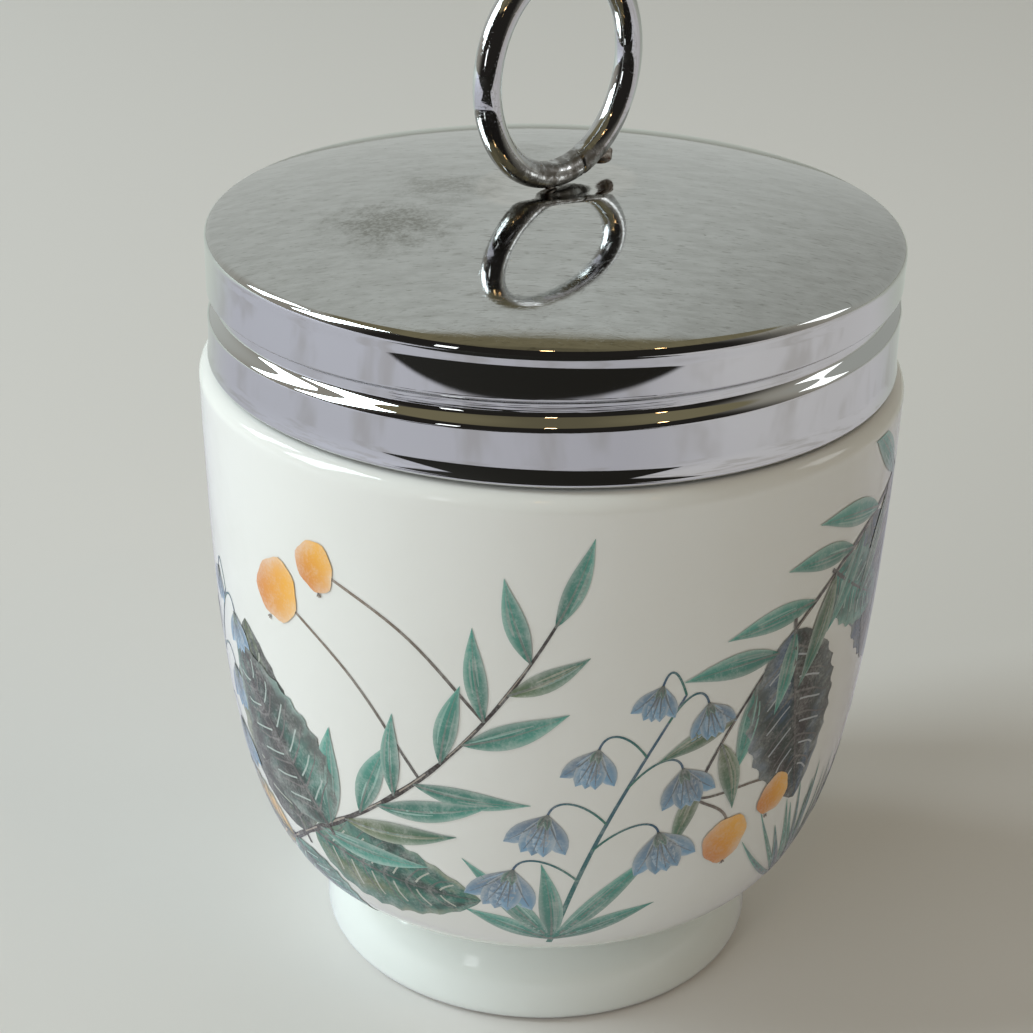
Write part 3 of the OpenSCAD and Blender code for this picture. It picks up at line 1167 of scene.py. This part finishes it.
@dataclass
class Canvas:
    """Strokes on a flat sheet, x to the right and y the height, laid on the bowl as one film."""

    name: str
    side: float
    bowl: Bowl
    seed: int
    base_lift: float = 0.016
    layer_lift: float = 0.005
    stalk_layer: int = 5
    berry_layer: int = 16
    berry_stretch: float = 1.15
    grids: list[tuple[Array, Array, Array, float]] = field(default_factory=list)

    def __post_init__(self) -> None:
        """Seeds the hand that paints, and measures the bowl's outside from its shoulder down."""
        self.hand = np.random.default_rng(self.seed)
        u = self.bowl.shares(900)
        points = self.bowl.point(u)
        run = np.concatenate([[0], np.cumsum(np.linalg.norm(np.diff(points, axis=0), axis=1))])
        self.table = (self.bowl.shoulder_z - run[-1] + run, u)

    def patch(self, grid: Array, tint: Array, cover: Array | float, layer: float) -> None:
        """Adds a stroke.

        Args:
            grid: Its points on the canvas, rows by columns.
            tint: Its colour, one for all or one a point.
            cover: How fully it covers, from 0 to 1, one for all or one a point.
            layer: Which layer it lies in, from 0 up.
        """
        shape = grid.shape[:2]
        tints = np.broadcast_to(tint, (*shape, 3))
        self.grids.append((grid, tints, np.broadcast_to(cover, shape), layer))

    def ribbon(
        self, path: Array, half: Array | float, start: Paint, end: Paint, cover: float, layer: float
    ) -> None:
        """Adds a stroke of a thin brush along a path.

        Args:
            path: The middle of the stroke.
            half: Half its width, one for all or one a point.
            start: Its colour at the start.
            end: Its colour at the end.
            cover: How fully it covers.
            layer: Its layer.
        """
        way = np.gradient(path, axis=0)
        way = way / np.maximum(np.linalg.norm(way, axis=1, keepdims=True), 1e-9)
        across = np.stack([-way[:, 1], way[:, 0]], -1)
        side = np.array([-1.0, 0.0, 1.0])
        half = np.broadcast_to(half, len(path))
        grid = path[:, None] + side[None, :, None] * half[:, None, None] * across[:, None]
        t = np.linspace(0, 1, len(path))[:, None, None]
        self.patch(grid, start.light + (end.light - start.light) * t, cover, layer)

    def blade(
        self, leaf: Blade, base: Paint, tip: Paint, layer: float, cover: float = 0.95, streaks: int = 3
    ) -> None:
        """Adds a slim leaf with a few streaks of the brush and its midrib."""
        t = np.linspace(0, 1, max(8, int(leaf.length * 1.6)))[:, None]
        side = np.linspace(-1, 1, 5)[None, :]
        tone = np.clip(t + self.hand.uniform(-0.25, 0.25), 0, 1)[..., None]
        shade = (1 - 0.22 * side * np.sign(leaf.bend or 1))[..., None]
        tint = np.clip((base.light + (tip.light - base.light) * tone) * shade, 0, 1)
        self.patch(leaf.at(t, side), tint, cover * (1 - 0.35 * np.abs(side) ** 3 * (t > 0.1)), layer)
        for _ in range(streaks):
            first = self.hand.uniform(0.05, 0.4)
            run = np.linspace(first, first + self.hand.uniform(0.3, 0.55), 8)
            path = leaf.at(run, self.hand.uniform(-0.65, 0.65))
            paint = base if self.hand.random() < 0.6 else tip
            half = 0.09 * np.sin(np.pi * np.linspace(0.05, 0.95, 8)) + 0.02
            self.ribbon(path, half, paint, paint, 0.7, layer + 1)
        run = np.linspace(0, 0.9, 9)
        self.ribbon(leaf.rib(run), 0.10 * (1 - run) + 0.03, Paint.MOSS, base, 0.8, layer + 2)

    def broad_leaf(self, leaf: Blade, paints: Sequence[Paint], layer: float, veins: int = 6) -> None:
        """Adds a broad leaf with a toothed edge, a mottled wash and dark side veins."""
        t = np.linspace(0, 1, 44)[:, None]
        side = np.linspace(-1, 1, 15)[None, :]
        phase = self.hand.uniform(0, 6, 4)
        slow = np.sin(5 * t + phase[0] + 2 * side)
        fast = np.sin(9 * t * side + 3 * side + phase[1])
        cloud = 0.5 + 0.25 * slow + 0.25 * fast
        cloud = np.clip(cloud + self.hand.normal(0, 0.10, cloud.shape), 0, 1)[..., None]
        low, mid, high = (paint.light for paint in paints)
        tint = np.where(cloud < 0.5, low + (mid - low) * cloud * 2, mid + (high - mid) * (cloud * 2 - 1))
        self.patch(leaf.at(t, side), tint, 0.97 - 0.30 * cloud[..., 0] * np.abs(side) ** 2, layer)
        dark, _, pale = paints
        reach = np.linspace(0, 0.86, 9)
        short = reach[1:-2]
        for k in range(veins):
            start = 0.08 + 0.78 * k / veins
            for way in (-1, 1):
                vein = leaf.at(start + 0.17 * reach ** 1.3, way * reach)
                self.ribbon(vein, 0.11 * (1 - reach) + 0.035, dark, dark, 0.85, layer + 1)
                beside = leaf.at(start + 0.05 + 0.15 * short ** 1.3, way * short)
                self.ribbon(beside, 0.10, pale, pale, 0.5, layer + 1)
        run = np.linspace(-0.06, 0.96, 14)
        self.ribbon(leaf.rib(run), 0.16 * (1 - run) + 0.05, Paint.TWIG, dark, 0.9, layer + 2)

    def broad_leaves(self, stem: Array, sprouts: Sequence[Sprout]) -> None:
        """Adds the broad leaves of a stem, each a few layers above the last."""
        for k, sprout in enumerate(sprouts):
            self.broad_leaf(sprout.leaf(stem), sprout.paints, 3 * k)

    def twig(self, path: Array, half: float, layer: float, taper: float = 0.3) -> None:
        """Adds a brown twig that thins towards its end, with knots and a lit side."""
        t = np.linspace(0, 1, len(path))
        wobble = 1 + 0.16 * np.sin(23 * t + self.hand.uniform(0, 6)) + 0.10 * np.sin(61 * t)
        width = half * (1 - (1 - taper) * t) * wobble
        self.ribbon(path, width, Paint.TWIG, Paint.TWIG, 0.97, layer)
        way = np.gradient(path, axis=0)
        across = np.stack([-way[:, 1], way[:, 0]], -1) / np.linalg.norm(way, axis=1, keepdims=True)
        for first in range(1, len(path) - 6, 7):
            part = slice(first, first + 5)
            lit = path[part] + across[part] * width[part, None] * 0.35
            self.ribbon(lit, width[part] * 0.28, Paint.BARK, Paint.BARK, 0.75, layer + 1)

    def berry(self, stalk: Array, half: float, radius: float, angle: float) -> None:
        """Adds a stalk and the berry at its end."""
        self.ribbon(stalk, half, Paint.TWIG, Paint.BARK, 0.9, self.stalk_layer)
        self.fruit(stalk[-1], radius, self.berry_layer, angle)

    def fruit(self, centre: Array, radius: float, layer: float, angle: float) -> None:
        """Adds an ochre berry with a warm side, and a dark speck at its end."""
        turn = np.linspace(0, 2 * np.pi, 29)
        share = np.linspace(0, 1, 6)[:, None]
        lumps = 1 + 0.05 * np.sin(3 * turn + self.hand.uniform(0, 6)) + 0.03 * np.sin(7 * turn)
        along, side = heading(angle), heading(angle + 90)
        reach = radius * lumps * share
        offset = (reach * np.cos(turn) * self.berry_stretch)[..., None] * along
        offset = offset + (reach * np.sin(turn))[..., None] * side
        warm = np.clip(0.35 + 0.5 * share * np.sin(turn - 0.6), 0, 1)[..., None]
        tint = Paint.OCHRE.light + (Paint.AMBER.light - Paint.OCHRE.light) * warm
        self.patch(centre + offset, tint, 0.96 - 0.35 * share**3 * (0.6 + 0.4 * np.sin(2 * turn)), layer)
        tip = centre - along * radius * self.berry_stretch
        for spread in (-30, 0, 30):
            path = tip + np.linspace(0, 0.5, 4)[:, None] * heading(angle + 180 + spread)
            self.ribbon(path, 0.07, Paint.TWIG, Paint.BARK, 0.9, layer + 1)

    def bell(self, hang: Array, angle: float, size: float, layer: float) -> None:
        """Adds a blue bell flower that hangs from a point."""
        for spread in (-26, 26, -9, 9, 0):
            petal = Blade(hang, angle + spread, size, size * 0.42, 0.006 * spread, 1.25, 0.75)
            self.blade(petal, Paint.SLATE, Paint.BLUE, layer + (0 if abs(spread) > 9 else 2), 0.85, 2)
        for spread in (-16, 14):
            calyx = Blade(hang, angle + spread, size * 0.36, size * 0.16)
            self.blade(calyx, Paint.MOSS, Paint.TEAL, layer + 5, 0.9, 0)

    def tuft(
        self, root: Array, angle: float, spread: float, count: int, length: float, layer: float
    ) -> None:
        """Adds a tuft of narrow grass blades that fan out from a root."""
        for k in range(count):
            lean = spread * ((k + 0.5) / count - 0.5) * 2 + self.hand.normal(0, 3)
            long = length * self.hand.uniform(0.62, 1.0) * (1 - 0.25 * abs(lean) / max(spread, 1))
            grass = Blade(root + plane(self.hand.normal(0, 0.5), 0), angle + lean, long,
                          self.hand.uniform(0.55, 0.95), -0.0045 * lean, 0.7, 0.9)
            paints = (Paint.TEAL, Paint.SEA) if self.hand.random() < 0.7 else (Paint.SLATE, Paint.SEA)
            self.blade(grass, *paints, layer + 3 * (k % 3), 0.92, 1)

    def spray(self, path: Array, leaves: int, length: float, layer: float, first: float = 0.1) -> None:
        """Adds a twig with slim leaves on both sides in turn, and one at its tip."""
        self.twig(path, 0.42, layer)
        way = np.gradient(path, axis=0)
        for k in range(leaves):
            t = first + (0.97 - first) * k / (leaves - 1)
            i = int(t * (len(path) - 1))
            along = math.degrees(math.atan2(way[i, 1], way[i, 0]))
            side = 1 if k % 2 else -1
            lean = 0 if k == leaves - 1 else side * self.hand.uniform(34, 58)
            long = length * (1.05 - 0.4 * t) * self.hand.uniform(0.85, 1.1)
            leaf = Blade(path[i], along + lean, long, long * self.hand.uniform(0.20, 0.27), -side * 0.12)
            paints = (Paint.TEAL, Paint.SEA) if self.hand.random() < 0.75 else (Paint.OLIVE, Paint.TEAL)
            self.blade(leaf, *paints, layer + 2 + 3 * (k % 3))

    def lay(self, material: Material) -> Piece:
        """Lays the strokes on the bowl as one film, each layer a little above the last.

        Args:
            material: The printed glaze.

        Returns:
            The film's object.
        """
        points, normals, tints, covers, faces = [], [], [], [], []
        count = 0
        for grid, tint, cover, layer in self.grids:
            rows, columns = grid.shape[:2]
            flat = grid.reshape(-1, 2)
            u = np.interp(flat[:, 1], *self.table)
            section, slope = self.bowl.point(u), self.bowl.slope(np.clip(u, 0.002, 0.998))
            turn = np.radians(FRONT + self.side) + flat[:, 0] / section[:, 0]
            out = np.stack([slope[:, 1] * np.cos(turn), slope[:, 1] * np.sin(turn), -slope[:, 0]], -1)
            spot = np.stack([section[:, 0] * np.cos(turn), section[:, 0] * np.sin(turn), section[:, 1]], -1)
            points.append(spot + out * (self.base_lift + self.layer_lift * layer))
            normals.append(out)
            tints.append(tint.reshape(-1, 3))
            covers.append(cover.reshape(-1))
            i = np.arange(rows - 1)[:, None] * columns
            j = np.arange(columns - 1)[None, :]
            corner = i + j
            quads = np.stack([corner, corner + 1, corner + columns + 1, corner + columns], -1)
            faces.append(self.facing_out(quads.reshape(-1, 4), points[-1], out) + count)
            count += rows * columns
        film = new_piece(self.name, np.concatenate(points), np.concatenate(faces).tolist(), 180)
        mesh = film.data
        colours = np.concatenate([np.concatenate(tints), np.ones((count, 1))], 1).astype(np.float32)
        shares = np.concatenate(covers).astype(np.float32)
        mesh.attributes.new(TINT, "FLOAT_COLOR", "POINT").data.foreach_set("color", colours.ravel())
        mesh.attributes.new(COVER, "FLOAT", "POINT").data.foreach_set("value", shares)
        mesh.normals_split_custom_set_from_vertices(np.concatenate(normals).tolist())
        dress(film, material, "cup")
        return film

    @staticmethod
    def facing_out(quads: Array, points: Array, out: Array) -> Array:
        """The faces of one stroke, each turned so that it faces away from the bowl."""
        a, b, c, d = (points[quads[:, k]] for k in range(4))
        wrong = (np.cross(c - a, d - b) * out[quads[:, 0]]).sum(1) < 0
        return np.where(wrong[:, None], quads[:, ::-1], quads)


@dataclass
class BotanicalPrint:
    """The print round the bowl: leafy twigs, broad leaves, blue bells, grasses and ochre berries."""

    bowl: Bowl = field(default_factory=Bowl)
    finish: PrintedGlaze = PrintedGlaze("printed_glaze", GLAZE_WHITE, GLAZE_ROUGHNESS)
    climbing: tuple[Sprout, ...] = (
        Sprout(8, 112, 24, 14.5, -0.08, 11, (Paint.TWIG, Paint.MOSS, Paint.OLIVE)),
        Sprout(11, -14, 19, 12.0, 0.12, 9, (Paint.MOSS, Paint.TEAL, Paint.OLIVE)),
        Sprout(2, 176, 15, 9.5, -0.10, 8, (Paint.MOSS, Paint.OLIVE, Paint.OCHRE)),
        Sprout(3, -52, 14, 8.5, 0.10, 8, (Paint.MOSS, Paint.TEAL, Paint.SEA)),
        Sprout(15, 126, 21, 13.5, 0.10, 10, (Paint.TWIG, Paint.MOSS, Paint.TEAL)),
    )
    drooping: tuple[Sprout, ...] = (
        Sprout(15, -70, 22, 13.0, 0.10, 10, (Paint.MOSS, Paint.SLATE, Paint.OLIVE)),
        Sprout(5, -98, 20, 12.5, -0.08, 9, (Paint.TWIG, Paint.MOSS, Paint.BARK)),
        Sprout(24, -38, 14, 8.5, 0.10, 8, (Paint.MOSS, Paint.TEAL, Paint.SEA)),
        Sprout(32, -82, 22, 13.0, 0.08, 10, (Paint.TWIG, Paint.MOSS, Paint.SLATE)),
    )

    def left_branch(self, side: float, seed: int) -> Canvas:
        """A branch that climbs from the lower left, with broad leaves, slim leaves and berries."""
        sheet = Canvas(f"print_branch_{seed}", side, self.bowl, seed)
        stem = cubic(plane(-17, 17), plane(-9, 27), plane(5, 31), plane(17, 56), 52)
        sheet.spray(stem, 13, 13.5, 6, 0.26)
        sheet.broad_leaves(stem, self.climbing)
        for place, radius, angle in ((plane(-13.5, 50.5), 3.0, 70), (plane(-8, 55), 2.3, 100)):
            joint = nearest(stem, place)
            half_way = (joint + place) / 2
            stalk = cubic(joint, half_way + plane(2.5, 1), half_way + plane(1.5, 3), place, 14)
            sheet.berry(stalk, 0.16, radius, angle)
        return sheet

    def bell_sprig(self, side: float, seed: int) -> Canvas:
        """A sprig of blue bells that stands up from the bottom of the bowl."""
        sheet = Canvas(f"print_bells_{seed}", side, self.bowl, seed)
        stem = cubic(plane(-4, 13.5), plane(-3, 24), plane(0, 33), plane(7, 45), 38)
        sheet.ribbon(stem, np.linspace(0.30, 0.12, len(stem)), Paint.TEAL, Paint.SLATE, 0.95, 2)
        bells = ((0.36, 6.2), (0.48, 6.4), (0.60, 5.6), (0.72, 5.4), (0.84, 4.6), (0.93, 4.0), (1.0, 2.4))
        for k, (t, reach) in enumerate(bells):
            way = 1 if k % 2 else -1
            joint = stem[int(t * (len(stem) - 1))]
            hang = joint + plane(way * reach, 1.4)
            rise, fall = joint + plane(way * reach * 0.4, 3.0), hang + plane(-way * 0.6, 2.2)
            sheet.ribbon(cubic(joint, rise, fall, hang, 16), 0.12, Paint.TEAL, Paint.SLATE, 0.95, 3)
            sheet.bell(hang, -90 + way * 14, 6.0 - 0.35 * k, 4 + (k % 2) * 7)
        for angle, long in ((122, 15), (60, 16), (146, 10), (34, 11), (92, 12)):
            leaf = Blade(stem[1], angle, long, 2.3, 0.12 if angle > 90 else -0.12)
            sheet.blade(leaf, Paint.TEAL, Paint.SEA, 3)
        return sheet

    def right_branch(self, side: float, seed: int) -> Canvas:
        """A branch that droops from the upper right, over a tuft of grass."""
        sheet = Canvas(f"print_bough_{seed}", side, self.bowl, seed)
        stem = cubic(plane(20, 58), plane(6, 58), plane(-9, 50), plane(-14, 33), 52)
        sheet.spray(stem, 13, 12.5, 6, 0.12)
        sheet.broad_leaves(stem, self.drooping)
        for place, radius, angle in ((plane(-9, 26), 2.6, 100), (plane(-3.5, 29.5), 2.1, 80)):
            joint = nearest(stem, place)
            stalk = cubic(joint, joint + plane(1.0, -2), place + plane(0.2, 5), place, 14)
            sheet.berry(stalk, 0.15, radius, angle)
        sheet.tuft(plane(5, 13.0), 100, 50, 15, 21, 2)
        sheet.tuft(plane(13, 14.0), 80, 40, 11, 18, 4)
        return sheet

    def build(self) -> list[Piece]:
        """Prints the sprays round the bowl."""
        material = self.finish.material()
        sheets = (
            self.left_branch(-24, 11), self.bell_sprig(11, 12), self.right_branch(50, 13),
            self.bell_sprig(94, 14), self.left_branch(153, 15), self.bell_sprig(190, 17),
            self.right_branch(-128, 16), self.bell_sprig(-78, 18),
        )
        return [sheet.lay(material) for sheet in sheets]


# ---------------------------------------------------------------- studio


def toward(side: float, up: float) -> Vector:
    """The direction at an angle from the front, counted to the camera's right, and an elevation."""
    turn, rise = math.radians(FRONT + side), math.radians(up)
    return Vector((math.cos(rise) * math.cos(turn), math.cos(rise) * math.sin(turn), math.sin(rise)))


@dataclass(frozen=True)
class Lamp:
    """A flat lamp that hangs in a direction from the coddler and shines at it."""

    name: str
    side: float
    up: float
    distance: float
    width: float
    height: float
    colour: Colour
    power: float
    mirrored: bool = True
    aim_z: float = 45.0

    def build(self) -> None:
        """Makes the lamp."""
        light = bpy.data.lights.new(self.name, "AREA")
        light.shape = "RECTANGLE"
        light.size = self.width * MM
        light.size_y = self.height * MM
        light.color = self.colour
        light.energy = self.power
        lamp = bpy.data.objects.new(self.name, light)
        way = toward(self.side, self.up)
        lamp.location = Vector((0, 0, self.aim_z * MM)) + way * self.distance * MM
        lamp.rotation_euler = way.to_track_quat("Z", "Y").to_euler()
        lamp.visible_camera = False
        lamp.visible_glossy = self.mirrored
        bpy.context.scene.collection.objects.link(lamp)


@dataclass(frozen=True)
class Camera:
    """The camera at the photograph's viewing angle: its place, where it looks, its roll and its lens."""

    place: tuple[float, float, float] = (-155.856, -133.585, 147.430)
    ahead: tuple[float, float, float] = (0.67313, 0.59504, -0.43912)
    roll: float = 1.3445
    lens: float = 76.67
    sensor: float = 36.0

    def build(self) -> None:
        """Makes the camera."""
        ahead, roll = Vector(self.ahead).normalized(), math.radians(self.roll)
        level = ahead.cross(Vector((0, 0, 1))).normalized()
        right = level * math.cos(roll) + level.cross(ahead) * math.sin(roll)
        data = bpy.data.cameras.new("camera")
        data.sensor_width = self.sensor
        data.lens = self.lens
        data.clip_start = 0.01
        camera = bpy.data.objects.new("camera", data)
        facing = Matrix((right, right.cross(ahead), -ahead)).transposed().to_4x4()
        camera.matrix_world = Matrix.Translation(Vector(self.place) * MM) @ facing
        bpy.context.scene.collection.objects.link(camera)
        bpy.context.scene.camera = camera


@dataclass(frozen=True)
class Room:
    """What chrome mirrors above the floor: a dark front, side and back walls and a dim ceiling."""

    backdrop: Colour = (0.62, 0.61, 0.59)
    wall: Colour = (0.53, 0.55, 0.525)
    side_wall: Colour = (0.34, 0.32, 0.28)
    shaded_wall: Colour = (0.40, 0.41, 0.385)
    ceiling: Colour = (0.20, 0.175, 0.105)
    dark: Colour = (0.020, 0.018, 0.016)
    # Where one wall turns into the next, as angles from the front, and how high the ceiling begins
    side_from: tuple[float, float] = (55.0, 100.0)
    wall_from: tuple[float, float] = (100.0, 150.0)
    shade_from: tuple[float, float] = (90.0, 120.0)
    shade_to: tuple[float, float] = (177.0, 158.0)
    ceiling_from: tuple[float, float] = (49.0, 53.0)
    lit_ceiling: tuple[float, float, float, float] = (10.0, 60.0, 0.65, 1.0)

    def build(self) -> None:
        """Makes the world."""
        world = bpy.data.worlds.new("studio")
        bpy.context.scene.world = world
        world.use_nodes = True
        wiring = Wiring(world.node_tree)
        front, right, up = wiring.out("ShaderNodeTexCoord", output="Generated").turned(-FRONT).parts()
        turn = right.math("ARCTAN2", front).math("DEGREES")
        side, rise = turn.math("ABSOLUTE"), up.math("ARCSINE").math("DEGREES")
        walls = side.step(*self.side_from).mix(self.dark, self.side_wall)
        walls = side.step(*self.wall_from).mix(walls, self.wall)
        shaded = turn.step(*self.shade_from) * turn.step(*self.shade_to)
        walls = shaded.mix(walls, self.shaded_wall)
        ceiling = side.step(*self.lit_ceiling).mix(self.dark, self.ceiling)
        room = rise.step(*self.ceiling_from).mix(walls, ceiling)
        seen = wiring.out("ShaderNodeLightPath", output="Is Camera Ray")
        background = {"Color": seen.mix(room, self.backdrop), "Strength": 1.0}
        wiring.feed(world.node_tree.nodes["Background"], background)


@dataclass(frozen=True)
class Floor:
    """The round pale floor, which mirrors show as a folded cloth that ends in front."""

    radius: float = 1500.0
    sides: int = 128
    colour: Colour = (0.74, 0.72, 0.70)
    cloth: Colour = (0.69, 0.66, 0.765)
    # Painted light: the cloth turns paler towards the camera's right
    cloth_lit: Colour = (0.95, 0.91, 1.0)
    cloth_behind: Colour = (0.76, 0.78, 0.75)
    # Painted shade: the cloth's folds are darkened with this colour
    crease: Colour = (0.34, 0.29, 0.25)
    # Painted shade: beyond the cloth the floor is dark, standing for the unlit room
    dark: Colour = (0.020, 0.018, 0.016)
    # The cloth's front edge, and the ends and far side of the dark beyond it
    edge: float = 209.5
    edge_middle: float = 8.0
    edge_curve: float = 0.002
    left: float = 172.0
    right: float = 142.0
    far: float = 330.0

    def bare(self, front: Flow, right: Flow) -> Flow:
        """Where the cloth doesn't reach."""
        bent = right - self.edge_middle
        beyond = (front + bent * bent * self.edge_curve).step(self.edge - 1.5, self.edge + 1.5)
        ends = right.step(-self.left - 3, -self.left) * right.step(self.right + 3, self.right)
        return (beyond * ends).math("MAXIMUM", front.step(self.far - 30, self.far))

    def build(self) -> None:
        """Makes the floor."""
        turn = np.arange(self.sides) * 2 * np.pi / self.sides
        points = np.stack([np.cos(turn), np.sin(turn), np.zeros(self.sides)], -1) * self.radius
        floor = new_piece("studio_floor", points, [list(range(self.sides))])
        material, wiring, surface = new_material("studio_floor")
        place = wiring.place()
        front, right, _ = place.turned(-FRONT).parts()
        # Painted shade in the cloth's folds and painted light on its right side
        fold_shade = place.scaled(0.013, 0.02, 1.0).noise(1.0, 3.0, 0.55).step(0.34, 0.54, 0.32, 0.0)
        sheet = fold_shade.mix(right.step(60.0, 200.0).mix(self.cloth, self.cloth_lit), self.crease)
        sheet = front.step(-90.0, -190.0).mix(sheet, self.cloth_behind)
        # Only glossy rays see the cloth with its painted light and shade, and the painted dark beyond it
        mirrored = wiring.out("ShaderNodeLightPath", output="Is Glossy Ray")
        colour = mirrored.mix(self.colour, self.bare(front, right).mix(sheet, self.dark))
        wiring.feed(surface, {"Base Color": colour, "Roughness": 0.9, "Specular IOR Level": 0.1})
        floor.data.materials.append(material)


WINDOW: Colour = (0.84, 0.96, 1.0)
DAYLIGHT: Colour = (0.95, 0.98, 1.0)
LAMPS = (
    Lamp("window_main", -82, 36, 1400, 390, 870, WINDOW, 10.6),
    Lamp("window_side", -108, 30, 1400, 233, 653, WINDOW, 3.8),
    Lamp("window_right", 102, 30, 1100, 240, 330, DAYLIGHT, 0.5),
    Lamp("window_far", -32, 15, 1100, 130, 260, DAYLIGHT, 0.3),
    Lamp("ceiling_lamp_a", -2, 52, 900, 46, 30, (1.0, 0.62, 0.28), 0.09),
    Lamp("ceiling_lamp_b", 43, 52, 900, 40, 28, (1.0, 0.58, 0.24), 0.07),
    Lamp("soft_key", -46, 22, 1900, 1300, 900, (0.96, 1.0, 1.0), 10.0, False),
    Lamp("soft_front", -34, 5, 1100, 620, 240, (1.0, 0.95, 0.90), 1.1, False),
    Lamp("soft_fill", 72, 34, 1700, 1100, 1000, (1.0, 0.82, 0.58), 2.6, False),
)


def main() -> None:
    """Builds the coddler and its studio."""
    logging.basicConfig(level=logging.INFO, format="%(message)s")
    bpy.context.scene.view_settings.view_transform = "Standard"
    for part in (Cup(), BotanicalPrint(), Lid(), LiftingRing()):
        for piece in part.build():
            LOG.info("%s: %d faces", piece.name, len(piece.data.polygons))
    for fitting in (Room(), Floor(), Camera(), *LAMPS):
        fitting.build()


if __name__ == "__main__":
    main()
